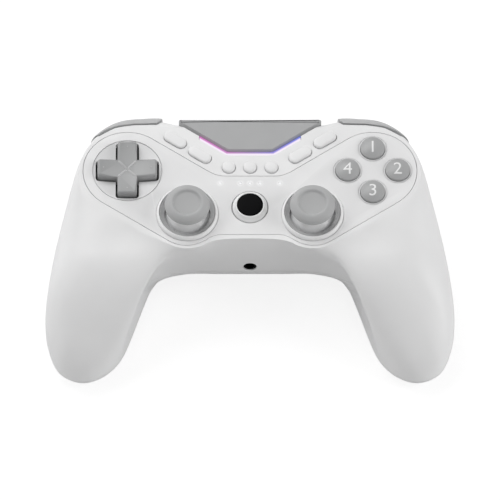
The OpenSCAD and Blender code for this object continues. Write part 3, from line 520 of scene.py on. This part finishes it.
WHITE = surface("white_plastic", (0.83, 0.83, 0.832), 0.42, grain=0.10, wear=0.08)
# bright_white: a lighter copy of the white plastic, lifted so the stick collars and home ring look lit: painted
# light
BRIGHT = surface("bright_white", (0.90, 0.90, 0.90), 0.32, grain=0.05, wear=0.2)
PLATE = surface("white_plate", (0.79, 0.79, 0.793), 0.40, grain=0.08, wear=0.25)
GREY = surface("grey_plastic", (0.385, 0.388, 0.392), 0.42, grain=0.14, wear=0.35)
PADS = surface("grey_keys", (0.345, 0.348, 0.35), 0.36, grain=0.08, wear=0.35)
# pale_grey: lighter than the cover's grey; on the stick funnels it offsets the shade of the well under the cap
# and on the D-pad ridges it makes a painted highlight, so both are painted light; the shoulder buttons take it
# too
PALE = surface("pale_grey", (0.47, 0.473, 0.476), 0.4, grain=0.12, wear=0.3)
# grey_skirt: near-white, lifted well above the stick's grey to offset the shadow the cap casts on it: painted
# light
SKIRT = surface("grey_skirt", (0.88, 0.882, 0.885), 0.25, grain=0.06)
KEYS = surface("grey_buttons", (0.4, 0.403, 0.405), 0.34, grain=0.08, wear=0.3)
RUBBER = surface("grey_rubber", (0.43, 0.433, 0.435), 0.55, grain=0.25, grain_size=0.25, mottle=0.03,
                 wear=0.2)
BLACK = surface("gloss_black", (0.003, 0.003, 0.0035), 0.3, grain=0.02, vary=0.04, spec=0.03)
DARK = surface("dark_plastic", (0.03, 0.03, 0.032), 0.5, grain=0.2, wear=0.3)
MARK = surface("white_marks", (0.86, 0.86, 0.86), 0.45, grain=0.04)
LENS = surface("white_lens", (0.9, 0.9, 0.92), 0.3, grain=0.02)
lens_shader = LENS.node_tree.nodes["Principled BSDF"]
lens_shader.inputs["Emission Color"].default_value = (1, 1, 1, 1)
lens_shader.inputs["Emission Strength"].default_value = 0.12
BOARD = surface("board", (0.02, 0.12, 0.05), 0.35, grain=0.1, grain_size=0.8)
SILICONE = surface("silicone", (0.5, 0.5, 0.52), 0.6, grain=0.15)
STEEL = surface("steel", (0.58, 0.58, 0.6), 0.32, grain=0.1, grain_size=0.2, metal=1.0, wear=0.2)
WEIGHT = surface("weight_metal", (0.2, 0.2, 0.21), 0.5, grain=0.3, grain_size=0.3, metal=1.0, wear=0.2)
GLOW = glow_strip("light_guide")
# painted glow: the faceplate emits round each indicator lamp, standing in for the light they spill on it
halo(PLATE, [(x * MM, INDICATOR_Y * MM, FACE * MM) for x in INDICATOR_X], 0.0019, 0.16)
BY_SLOT = {"white_plastic": WHITE, "grey_plastic": GREY, "grey_rubber": RUBBER, "gloss_black": BLACK,
           "light_guide": GLOW, "white_lens": LENS, "dark_plastic": DARK, "board": BOARD,
           "silicone": SILICONE, "steel": STEEL, "weight_metal": WEIGHT}
SLOT_OF = {p["node"]: p["material_slot"] for p in frame["record"]["subparts"]}
BODY_OF = {n: b for b, ns in frame["record"]["behaviour"]["bodies"].items() for n in ns}
for name, obj in nodes.items():
    for s in obj.material_slots:
        s.material = BY_SLOT[SLOT_OF[name]]


def place(obj, node, mat=None, stands=True):
    """Gives a piece its finish and the body it rides on, and hides the CAD node it stands for, if it stands for
    one.
    """
    slot = SLOT_OF[node]
    obj.data.materials.clear()
    obj.data.materials.append(mat or BY_SLOT[slot])
    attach(obj, BODY_OF[node])
    if stands:
        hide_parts(node)


def weigh(obj):
    """Keeps flat faces flat in the shading."""
    m = obj.modifiers.new("weigh", "WEIGHTED_NORMAL")
    m.keep_sharp = True
    m.weight = 80
    settle(obj)
    return obj


def tube(name, profile, at=(0, 0, 0), steps=96, sharp=32):
    """Turned ring from a closed profile, listed counter-clockwise in (radius, height)."""
    verts, faces = [], []
    n = len(profile)
    for r, z in profile:
        for k in range(steps):
            a = 2 * math.pi * k / steps
            verts.append((at[0] + r * math.cos(a), at[1] + r * math.sin(a), at[2] + z))
    for p in range(n):
        q = (p + 1) % n
        for k in range(steps):
            m = (k + 1) % steps
            faces.append([p * steps + k, p * steps + m, q * steps + m, q * steps + k])
    return build(name, verts, faces, sharp)


# ---------------------------------------------------------------- outlines on the face
along = np.array([math.cos(SLANT), math.sin(SLANT)])
across = np.array([-math.sin(SLANT), math.cos(SLANT)])
cluster = np.array(PAD)
end_hi = cluster + END_R * (along + across)
end_lo = cluster + END_R * (along - across)
PLATE_BACK, PLATE_FRONT = 17.6, -8.0
back_x = PAD[0] - (PAD[1] + END_R / math.cos(SLANT) - PLATE_BACK) / math.tan(SLANT)
side = math.radians(33)
lobe_c = math.sin(side) * STICK[0] + math.cos(side) * STICK[1] - LOBE_R
notch_x = (lobe_c - math.cos(side) * PLATE_FRONT) / math.sin(side)
low_y0 = PAD[1] - END_R / math.cos(SLANT) - PAD[0] * math.tan(SLANT)
lobe_x = (lobe_c - math.cos(side) * low_y0) / (math.sin(side) + math.cos(side) * math.tan(SLANT))
lobe_y = low_y0 + lobe_x * math.tan(SLANT)
plate = tidy_outline(rounded(both([
    (back_x, PLATE_BACK, 12), (*end_hi, END_R - 0.01), (*end_lo, END_R - 0.01),
    (lobe_x, lobe_y, LOBE_R - 1), (notch_x, PLATE_FRONT, 8)]), 24))
cover_side_y = COVER_Y + (COVER_HW - COVER_X) * math.tan(SLANT)
cover, cover_lid = (tidy_outline(rounded(both([
    (COVER_HW, y, 0.75), (COVER_HW, cover_side_y, 0.75), (COVER_X, COVER_Y, 4)]), 12))
    for y in (COVER_BACK, LID_BACK))


def front_chain(grow, half):
    """The slanted front edge of the cover, moved out, between -half and half in x."""
    chain = sorted(p for p in inset(cover, -grow) if p[1] < 38 and abs(p[0]) < half)
    rise = math.tan(SLANT)
    left, right = chain[0], chain[-1]
    return ([(-half, left[1] + (left[0] + half) * rise)] + chain
            + [(half, right[1] + (half - right[0]) * rise)])


def pill(r, at, turn=1, n=20):
    """Stadium outline along the slanted edge."""
    u = np.array([along[0] * turn, along[1]])
    base = math.atan2(u[1], u[0])
    pts = []
    for sign in (1, -1):
        mid = np.array(at) + sign * 2.5 * u
        for k in range(n + 1):
            a = base + (0 if sign > 0 else math.pi) - math.pi / 2 + math.pi * k / n
            pts.append((mid[0] + r * math.cos(a), mid[1] + r * math.sin(a)))
    return pts


PILLS = {"pill_left_outer": ((-28.4, 33.4), -1), "pill_left_inner": ((-19, 26.9), -1),
         "pill_right_inner": ((19, 26.9), 1), "pill_right_outer": ((28.4, 33.4), 1)}
MENUS = {"menu_left": -8.1, "menu_middle": 0.0, "menu_right": 8.1}
MENU_Y = 21.4
BUTTONS = {"button_north": (0, 9.5, "1"), "button_east": (9.5, 0, "2"),
           "button_south": (0, -9.5, "3"), "button_west": (-9.5, 0, "4")}
# room of a shoulder button, seen from above, and of a trigger as x0, x1 and the y it starts at
ZONE = [(35.2, 40.9), (44, 40.5), (51, 38.9), (57.2, 35.1), (75, 35.1), (75, 65), (30.8, 65), (33.2, 44.2)]
BAY = (30.6, 53.0, 41.4)


def mirrored(points, s):
    return [(s * x, y) for x, y in points]


def opening(d, z0, flare=0.3, top=FACE):
    """Levels of a cutter whose upper edge is eased outwards."""
    return [(-d, z0), (-d, top - flare), (-d - flare * 0.3, top - flare * 0.35), (-d - flare, top),
            (-d - flare - 0.01, top + 3)]


def box_cut(name, x0, x1, y0, y1, z0, z1):
    return slab(name, [(x0, y0), (x1, y0), (x1, y1), (x0, y1)], [(0, z0), (0, z1)])


# ---------------------------------------------------------------- the two shells
front = half_shell("front_shell_skin", True)
first = [slab("c", plate, opening(SEAM / 4, FACE - PLATE_T - SEAT, 0.12)),
         slab("c", cover, opening(SEAM / 2, PART - 1, 0.25))]
for at, turn in PILLS.values():
    hole = pill(PILL_R + KEY_GAP, (at[0] + GAP_SHIFT[0], at[1] + GAP_SHIFT[1]), turn)
    first.append(slab("c", hole, opening(0, FACE - TOP_T - 1, 0.05)))
for x in MENUS.values():
    first.append(disc("c", x + GAP_SHIFT[0], MENU_Y + GAP_SHIFT[1], MENU_R + KEY_GAP,
                      FACE - TOP_T - 1, FACE + 0.95, 0.05))
for s in (-1, 1):
    first.append(slab("c", mirrored(ZONE, s), [(0, 26.2), (0, FACE + 5)]))
jack = lathe("c", [(0, 4), (2.55, 4), (2.55, 24), (0, 24)], steps=48)
jack.data.transform(Matrix.Translation((0, 0, JACK_Z * MM)) @ Matrix.Rotation(math.pi / 2, 4, "X"))
first.append(jack)
combine(front, [join("cut", first)])
bar_end, cover_end = BAR_X + SEAM / 2, COVER_HW + SEAM / 2
second = [slab("c", plate, [(1.2, FACE - TOP_T - 1), (1.2, FACE - PLATE_T)]),
          slab("c", front_chain(SEAM / 2 + BAR_W, bar_end) + [(bar_end, 39), (-bar_end, 39)],
               [(0, PART - 1), (0, FACE + 3)])]
for s in (-1, 1):
    second.append(box_cut("c", *sorted((s * BAY[0], s * BAY[1])), BAY[2], 75, PART - 1, 26.6))
combine(front, [join("cut", second)], own=True)
combine(front, [box_cut("c", -cover_end, cover_end, cover_side_y, 62, PART - 1, FACE + 3)])
place(weigh(front), "front_shell")

back = half_shell("back_shell_skin", False)
hump = slab("hump", rounded(both([(22, 28.5, 5), (22, 11.5, 5)]), 10),
            [(1.4, 0), (0.6, 0.25), (0.15, 0.8), (0, 1.6), (0, UNDER + 1)])
combine(back, [hump], "UNION")
holes = []
for x, y, top in ((-56, -24, 11), (56, -24, 11), (-8.5, -5.9, 15.5), (8.5, -5.9, 15.5)):
    holes.append(lathe("c", [(0, -1), (2.35, -1), (2.35, top - 1), (0, top - 1)], (x, y, 0), 48))
for s in (-1, 1):
    holes.append(box_cut("c", *sorted((s * BAY[0], s * BAY[1])), BAY[2], 75, -1, PART + 1))
combine(back, [join("cut", holes)])
place(weigh(back), "back_shell")

# ---------------------------------------------------------------- faceplate with its dish and collars
face = slab("faceplate_skin", plate, [(SEAM / 4, FACE - PLATE_T), (SEAM / 4, FACE - 0.16),
                                      (SEAM / 4 + 0.04, FACE - 0.05), (SEAM / 4 + 0.15, FACE)])
DISH_R, DISH_DEEP = 13.4, 1.4
ball = (DISH_R ** 2 + DISH_DEEP ** 2) / (2 * DISH_DEEP)
dish = [(0, -DISH_DEEP)]
dish += [(r, -DISH_DEEP + ball - math.sqrt(ball ** 2 - r * r)) for r in np.linspace(0.6, 12.9, 24)]
dish += [(12.92, -0.6), (13.2, -0.6), (13.3, 0.02), (13.5, 2), (0, 2)]
cuts = [lathe("c", dish, (-PAD[0], PAD[1], FACE), 128)]
for x, y, _ in BUTTONS.values():
    at = (PAD[0] + x, PAD[1] + y, FACE)
    cuts.append(lathe("c", [(0, -4), (4.78, -4), (4.78, -0.07), (4.85, 0.02), (4.87, 2), (0, 2)], at, 96))
    cuts.append(tube("c", [(5.36, -0.35), (5.5, -0.35), (5.52, 2), (5.34, 2)], at, 96))
cuts.append(disc("c", 0, HOME_Y, 6.95, FACE - 4, FACE + 0.75, 0.25, 96))
for x in INDICATOR_X:
    cuts.append(lathe("c", [(0, -4), (0.65, -4), (0.65, 1), (0, 1)], (x, INDICATOR_Y, FACE), 24))
for s in (-1, 1):
    cuts.append(lathe("c", [(0, -4), (10.6, -4), (10.6, -0.5), (11.98, -0.3), (11.98, 3), (0, 3)],
                      (s * STICK[0], STICK[1], FACE), 128))
combine(face, [join("cut", cuts)])


def cross(grow, r=1.2, half=11.3, arm=3.7):
    a, b = arm + grow, half + grow
    pts = [(b, a, r), (a, a, 0), (a, b, r), (-a, b, r), (-a, a, 0), (-b, a, r), (-b, -a, r),
           (-a, -a, 0), (-a, -b, r), (a, -b, r), (a, -a, 0), (b, -a, r)]
    return [(x - PAD[0], y + PAD[1]) for x, y in rounded(pts, 6)]


combine(face, [slab("c", cross(0.7), [(0, FACE - 6), (0, FACE + 3)])])
place(weigh(face), "faceplate", PLATE)
for s, name in ((-1, "left"), (1, "right")):
    collar = ([(10.6, -1.2), (11.7, -1.2), (11.7, 0.1)] + arc(10.85, 0.1, 0.85, 0, 90, 10, 1.6 / 0.85)
              + [(10.68, 1.62), (10.6, 1.4)])
    # the collar takes the lighter white as painted light on the faceplate's raised ring
    place(tube(name + "_collar", collar, (s * STICK[0], STICK[1], FACE), 128), "faceplate", BRIGHT, False)

# ---------------------------------------------------------------- cover, light bar and indicator lenses
lid = slab("top_cover_skin", inset(cover_lid, SEAM / 2),
           [(0, PART + 0.6), (0, FACE - 1.3), (0.1, FACE - 1.0), (0.8, FACE - 0.15), (0.98, FACE)])
section = rounded([(COVER_Y - 5, FACE + 1, 0), (LID_BACK - 0.7, FACE + 1, 0), (LID_BACK - 0.7, FACE, 0.01),
                   (LID_BACK, FACE, 0.7), (LID_BACK, PART + 0.6, 0), (LID_BACK - 2.2, PART + 0.6, 0),
                   (LID_BACK - 2.2, FACE - 2.2, 1), (COVER_Y - 5, FACE - 2.2, 0)], 8)
keep = along_x(slab("keep", section, [(0, -30), (0, 30)]))
combine(lid, [keep], "INTERSECT")
PORT_HALF, PORT_R, PORT_Z = 2.7, 2.05, 28.35
port = [(sx * PORT_HALF + PORT_R * math.cos(a), PORT_Z + PORT_R * math.sin(a))
        for sx, a0 in ((1, -90), (-1, 90)) for a in [math.radians(a0 + 10 * k) for k in range(19)]]
mouth = slab("port", port, [(0, 37), (0, 44)])
mouth.data.transform(Matrix(((1, 0, 0, 0), (0, 0, 1, 0), (0, 1, 0, 0), (0, 0, 0, 1))))
mouth.data.flip_normals()  # the swap of axes above mirrors it
combine(lid, [mouth])
place(weigh(lid), "top_cover")
strip = front_chain(BAR_W, BAR_X) + front_chain(0, BAR_X)[::-1]
guide = slab("light_bar_guide", strip,
             [(0, FACE - 2.2), (0, FACE - 0.45), (0.1, FACE - 0.28), (0.28, FACE - 0.2)])
place(guide, "light_bar")
lamp_profile = [(0, -2.6), (0.55, -2.6), (0.55, -0.15), (0.4, -0.02), (0, 0)]
lamps = [lathe("lamp", lamp_profile, (x, INDICATOR_Y, FACE), 32) for x in INDICATOR_X]
place(join("indicator_lamps", lamps), "indicator_lenses")

# ---------------------------------------------------------------- cross pad
pad = slab("dpad_key", cross(0), [(0, FACE - 4.8), (0, FACE + 3.2)])
PAD_MID, PAD_SLOPE = FACE + 0.95, 0.19
reach = 14.0
tips = [(sx * reach - PAD[0], sy * reach + PAD[1]) for sx, sy in ((-1, -1), (1, -1), (1, 1), (-1, 1))]
roof = build("roof", [(-PAD[0], PAD[1], PAD_MID)] + [(x, y, PAD_MID + PAD_SLOPE * reach) for x, y in tips]
             + [(x, y, FACE + 8) for x, y in tips],
             [[0, 2, 1], [0, 3, 2], [0, 4, 3], [0, 1, 4], [1, 2, 6, 5], [2, 3, 7, 6], [3, 4, 8, 7], [4, 1, 5, 8],
              [5, 6, 7, 8]])
combine(pad, [roof], sharp=20)
round_edges(pad, 0.95, 6, 40, False)
# flange under the cross pad, blocking the view through the gap round the key
lip = slab("dpad_flange", cross(0, 0.6, 12.6, 5.3), [(0, FACE - 4.9), (0, FACE - 4.2)])
extras = [lathe("flange", [(0, -6), (9.8, -6), (9.8, -4.6), (0, -4.6)], (-PAD[0], PAD[1], FACE), 64)]
for sx, sy in ((1, 1), (1, -1), (-1, 1), (-1, -1)):
    verts, faces = [], []
    spine = [(0.2, -0.08), (0.5, 0.18), (0.9, 0.3), (2.6, 0.3), (3.1, 0.2), (3.5, -0.08)]
    for d, h in spine:
        for k in range(9):
            a = math.pi * k / 8
            off = 0.5 * math.cos(a)
            z = PAD_MID + PAD_SLOPE * d + (h + 0.08) * math.sin(a) - 0.08
            verts.append((-PAD[0] + sx * d - sy * off * 0.707, PAD[1] + sy * d + sx * off * 0.707, z))
    for p in range(len(spine) - 1):
        for k in range(8):
            faces.append([p * 9 + k, p * 9 + k + 1, p * 9 + 10 + k, p * 9 + 9 + k])
    extras.append(build("ridge", verts, faces, 60))
    dx, dy = (sx * 9.0, 0) if sx == sy else (0, sx * 9.0)
    extras.append(lathe("dot", arc(0, 0, 0.28, -20, 90, 6, 0.6)[:-1] + [(0, 0.17)],
                        (-PAD[0] + dx, PAD[1] + dy, PAD_MID + PAD_SLOPE * 9), 20))
# the flange is near-black so the gap round the key reads as shade: painted shade
place(lip, "dpad", DARK, False)
key = join("dpad_key_full", [pad, extras[0]], 40)
place(weigh(key), "dpad", PADS)
# the ridges and dots take the lighter grey as a painted highlight on the cross's raised lines
place(join("dpad_ridges", extras[1:], 60), "dpad", PALE, False)


# ---------------------------------------------------------------- face buttons with plain numerals
def fine(mesh, longest):
    """Splits a flat mesh until none of its edges is longer than this."""
    work = bmesh.new()
    work.from_mesh(mesh)
    bmesh.ops.remove_doubles(work, verts=work.verts, dist=0.001)
    bmesh.ops.triangulate(work, faces=work.faces)
    for _ in range(8):
        long = [e for e in work.edges if e.calc_length() > longest]
        if not long:
            break
        bmesh.ops.subdivide_edges(work, edges=long, cuts=1)
        bmesh.ops.triangulate(work, faces=work.faces)
    work.to_mesh(mesh)
    work.free()


BALL, CAP_TOP = 10.0, 2.2


def dome(r, top, ball):
    """Height of a dome at radius r."""
    return top - ball + math.sqrt(ball * ball - r * r)


for node, (x, y, mark) in BUTTONS.items():
    profile = [(0, -5), (5.6, -5), (5.6, -2.2), (4.64, -2.2), (4.64, 0.75), (4.62, 0.95), (4.55, 1.12)]
    profile += [(r, dome(r, CAP_TOP, BALL)) for r in np.linspace(4.4, 0.5, 12)] + [(0, CAP_TOP)]
    at = (PAD[0] + x, PAD[1] + y, FACE)
    place(lathe(node + "_cap", profile, at, 96), node, KEYS)
    text = bpy.data.curves.new(node + "_mark", "FONT")
    text.body = mark
    text.align_x = "CENTER"
    text.align_y = "CENTER"
    text.size = 7.2
    text.resolution_u = 8
    holder = bpy.data.objects.new("holder", text)
    scene.collection.objects.link(holder)
    graph = bpy.context.evaluated_depsgraph_get()
    drawn = bpy.data.meshes.new_from_object(holder.evaluated_get(graph))
    fine(drawn, 0.35)
    xs, ys = [v.co.x for v in drawn.vertices], [v.co.y for v in drawn.vertices]
    mx, my = (min(xs) + max(xs)) / 2, (min(ys) + max(ys)) / 2
    verts = [(at[0] + v.co.x - mx, at[1] + v.co.y - my,
              FACE + 0.03 + dome(math.hypot(v.co.x - mx, v.co.y - my), CAP_TOP, BALL)) for v in drawn.vertices]
    figure = build(node + "_figure", verts, [list(p.vertices) for p in drawn.polygons])
    bpy.data.objects.remove(holder)
    place(figure, node, MARK, False)

# ---------------------------------------------------------------- home, menu and pill buttons
ring = [(0, -5), (7.45, -5), (7.45, -2.2), (6.65, -2.2), (6.65, -0.1), (6.6, 0.12), (6.45, 0.32),
        (6.1, 0.55), (5.75, 0.98), (5.6, 1.4), (5.5, 1.68), (5.36, 1.84), (5.2, 1.9), (5.08, 1.88),
        (5.0, 1.8), (5.0, 0.7), (0, 0.7)]
# the home ring takes the lighter white as painted light
place(lathe("home_ring", ring, (0, HOME_Y, FACE), 128), "home_button", BRIGHT)
lens = [(0, 0.8), (4.9, 0.8), (4.9, 1.72), (4.82, 1.84), (4.66, 1.9)]
lens += [(r, dome(r, 2.0, 110)) for r in np.linspace(4.3, 0.5, 6)] + [(0, 2.0)]
place(lathe("home_disc", lens, (0, HOME_Y, FACE), 128), "home_lens")
for node, x in MENUS.items():
    profile = [(0, -5.8), (3.3, -5.8), (3.3, -3.55), (MENU_R, -3.55), (MENU_R, 0.25), (2.47, 0.45),
               (2.38, 0.62), (2.2, 0.77), (1.9, 0.88), (1.4, 0.96), (0.7, 0.995), (0, 1.0)]
    place(lathe(node + "_cap", profile, (x, MENU_Y, FACE), 72), node)
for node, (at, turn) in PILLS.items():
    place(slab(node + "_cap", pill(PILL_R, at, turn),
               [(-0.7, FACE - 5.8), (-0.7, FACE - 3.55), (0, FACE - 3.55), (0, FACE + 0.4), (0.04, FACE + 0.58),
                (0.15, FACE + 0.76), (0.34, FACE + 0.89), (0.65, FACE + 0.96), (1.2, FACE + 1.0)]), node)

# ---------------------------------------------------------------- thumb sticks
for s, name in ((-1, "left"), (1, "right")):
    at = (s * STICK[0], STICK[1], FACE)
    funnel = [(9.3, -2.6), (10.45, -2.6), (10.45, 1.25), (10.38, 1.36), (10.2, 1.36), (10.05, 1.26), (8.95, 0.56),
              (8.75, 0.42), (8.65, 0.22), (8.65, -0.4), (9.2, -0.9), (9.3, -1.2)]
    # the funnel takes the lighter grey to offset the shade of the well under the cap: painted light
    place(tube(name + "_funnel", funnel, at, 128), name + "_stick_ring", PALE)
    skirt = [(0, 0.2), (2.1, 0.2)] + arc(0, -9, 10.0, 66, 38, 8) + arc(0, -9, 11.0, 38, 66, 14)
    skirt += [(4.0, 2.2), (3.9, 3.0), (4.1, 3.7), (4.6, 4.25), (0, 4.25)]
    # the skirt's near-white tone stands in for light under the cap's shadow: painted light
    place(lathe(name + "_skirt", skirt, at, 128, 40), name + "_stick_cap", SKIRT, False)
    cap = [(0, 3.95), (4.2, 3.95), (5.2, 4.45), (6.4, 5.05), (7.4, 5.45), (8.0, 5.7), (8.38, 6.05)]
    cap += [(8.56, 6.45), (8.6, 6.75)]
    cap += [(8.46, 7.2), (8.2, 7.68), (7.8, 8.12), (7.3, 8.5), (6.8, 8.78), (6.35, 8.94), (5.95, 9.0)]
    cap += [(5.65, 8.96), (5.4, 8.82), (5.2, 8.62), (5.02, 8.4), (4.8, 8.22), (4.5, 8.12)]
    cap += [(r, 7.85 + 0.25 * (r / 4.2) ** 2) for r in (4.1, 3.2, 2.2, 1.2)] + [(0, 7.85)]
    place(lathe(name + "_thumb_cap", cap, at, 128, 40), name + "_stick_cap")


# ---------------------------------------------------------------- shoulder buttons and triggers
def skin_strip(name, per=12, rows=18):
    """Thick piece of the shell skin, from which a shoulder button is cut."""
    curves = skin_curves(per)
    picks = np.arange(int(round(per * 4 / 3)), per * 5 + 1)
    angles = [10 + 70 * k / rows for k in range(rows + 1)]
    proud = -0.9 - 0.9 * np.clip((42 - curves[:, 0]) / 7, 0, 1)
    outer = [skin_row(curves, f, 2, 6, proud, FACE + 0.3, PART)[picks] for f in angles]
    inner = [skin_row(curves, f, 2, 6, WALL + 0.4, FACE - WALL - 0.4, PART)[picks] for f in angles]
    n = len(picks)
    verts = [tuple(v) for r in outer + inner[::-1] for v in r]
    total = len(outer) * 2
    faces = []
    for k in range(total):
        m = (k + 1) % total
        for j in range(n - 1):
            faces.append([k * n + j, k * n + j + 1, m * n + j + 1, m * n + j])
    faces.append([k * n for k in range(total)])
    faces.append([k * n + n - 1 for k in reversed(range(total))])
    return build(name, verts, faces)


bumper = skin_strip("right_bumper_key")
zone = slab("zone", inset(tidy_outline(ZONE), RUN + 0.25), [(0, 27.3), (0, FACE + 5)])
combine(bumper, [zone], "INTERSECT")
round_edges(bumper, 0.35, 3, 40)
place(flip_x(bumper, "left_bumper_key"), "left_bumper", PALE)
place(bumper, "right_bumper", PALE)


def round_bar(name, r, steps, x0, x1):
    """Round bar along x at the trigger's hinge."""
    turns = np.linspace(0, 2 * math.pi, steps + 1)[:-1]
    outline = [(PIN[0] + r * math.cos(a), PIN[1] + r * math.sin(a)) for a in turns]
    return along_x(slab(name, outline, [(0, x0), (0, x1)]))


blade = rounded([(43, 24.4, 1.6), (47.5, 24.2, 6), (52.9, 19, 8), (52.3, 9.4, 1), (49.3, 8.6, 1),
                 (45.6, 16, 8), (43, 20, 1.5)], 12)
trigger = along_x(slab("blade", blade, [(0.9, 31.8), (0.35, 31.95), (0.08, 32.3), (0, 32.8),
                                        (0, 50.8), (0.08, 51.3), (0.35, 51.65), (0.9, 51.8)]))
arm = along_x(slab("arm", [(37, 26.4), (45, 23.6), (45, 20.4), (37, 21.6)], [(0, 36.5), (0, 45.5)]))
hub = round_bar("hub", 2.8, 48, 36.45, 45.55)
bore = round_bar("bore", 1.8, 40, 30, 55)
combine(arm, [hub], "UNION")
combine(arm, [bore])
trigger = join("right_trigger_key", [trigger, arm])
place(flip_x(trigger, "left_trigger_key"), "left_trigger")
place(trigger, "right_trigger")

# ---------------------------------------------------------------- stage: floor, lamps, camera
ground = bpy.data.meshes.new("floor")
ground.from_pydata([(-4, -4, 0), (4, -4, 0), (4, 4, 0), (-4, 4, 0)], [], [[0, 1, 2, 3]])
floor = bpy.data.objects.new("floor", ground)
scene.collection.objects.link(floor)
paper = bpy.data.materials.new("paper")
paper.use_nodes = True
tree = paper.node_tree
tree.nodes.remove(tree.nodes["Principled BSDF"])
seen = tree.nodes.new("ShaderNodeBsdfDiffuse")
seen.inputs["Color"].default_value = (0.3, 0.3, 0.3, 1)
lift = tree.nodes.new("ShaderNodeEmission")
lift.inputs["Strength"].default_value = 0.8
both_of = tree.nodes.new("ShaderNodeAddShader")
wire(tree, seen.outputs["BSDF"], both_of.inputs[0])
wire(tree, lift.outputs["Emission"], both_of.inputs[1])
bounce = tree.nodes.new("ShaderNodeBsdfDiffuse")
bounce.inputs["Color"].default_value = (0.8, 0.8, 0.8, 1)
path = tree.nodes.new("ShaderNodeLightPath")
choose = tree.nodes.new("ShaderNodeMixShader")
wire(tree, path.outputs["Is Camera Ray"], choose.inputs["Fac"])
wire(tree, bounce.outputs["BSDF"], choose.inputs[1])
wire(tree, both_of.outputs["Shader"], choose.inputs[2])
wire(tree, choose.outputs["Shader"], tree.nodes["Material Output"].inputs["Surface"])
ground.materials.append(paper)

world = bpy.data.worlds.new("studio")
scene.world = world
world.use_nodes = True
backdrop = world.node_tree.nodes["Background"]
backdrop.inputs["Color"].default_value = (1, 1, 1, 1)
backdrop.inputs["Strength"].default_value = 0.3


def lamp(name, at, aim, size, power):
    data = bpy.data.lights.new(name, "AREA")
    data.shape = "RECTANGLE"
    data.size, data.size_y = size
    data.energy = power
    obj = bpy.data.objects.new(name, data)
    obj.location = at
    obj.rotation_mode = "QUATERNION"
    obj.rotation_quaternion = (Vector(aim) - Vector(at)).to_track_quat("-Z", "Y")
    scene.collection.objects.link(obj)


lamp("top_box", (-0.4, 0.6, 1.0), (0, 0, 0.03), (1.1, 0.7), 7.4)
lamp("front_box", (0, -1.25, 0.6), (0, -0.02, 0.02), (1.4, 0.5), 1.55)
lamp("left_strip", (-1.0, -0.15, 0.45), (0, -0.01, 0.02), (0.4, 1.0), 2.0)
lamp("right_strip", (1.0, -0.15, 0.45), (0, -0.01, 0.02), (0.4, 1.0), 5.2)
lamp("back_strip", (-0.7, 1.1, 0.25), (0, 0, 0.03), (0.9, 0.3), 3.4)

target = Vector((0, -14.77, FACE)) * MM
lens_mm, sensor_mm = 1300, 36
view_width = 0.189
distance = view_width * lens_mm / sensor_mm
tilt = math.radians(60)
eye = bpy.data.cameras.new("camera")
eye.lens = lens_mm
eye.sensor_width = sensor_mm
eye.clip_end = 50
camera = bpy.data.objects.new("camera", eye)
way = Vector((0, -math.cos(tilt), math.sin(tilt)))
camera.location = target + way * distance
camera.rotation_mode = "QUATERNION"
camera.rotation_quaternion = (-way).to_track_quat("-Z", "Y")
scene.collection.objects.link(camera)
scene.camera = camera
scene.view_settings.view_transform = "Standard"

bpy.context.view_layer.update()
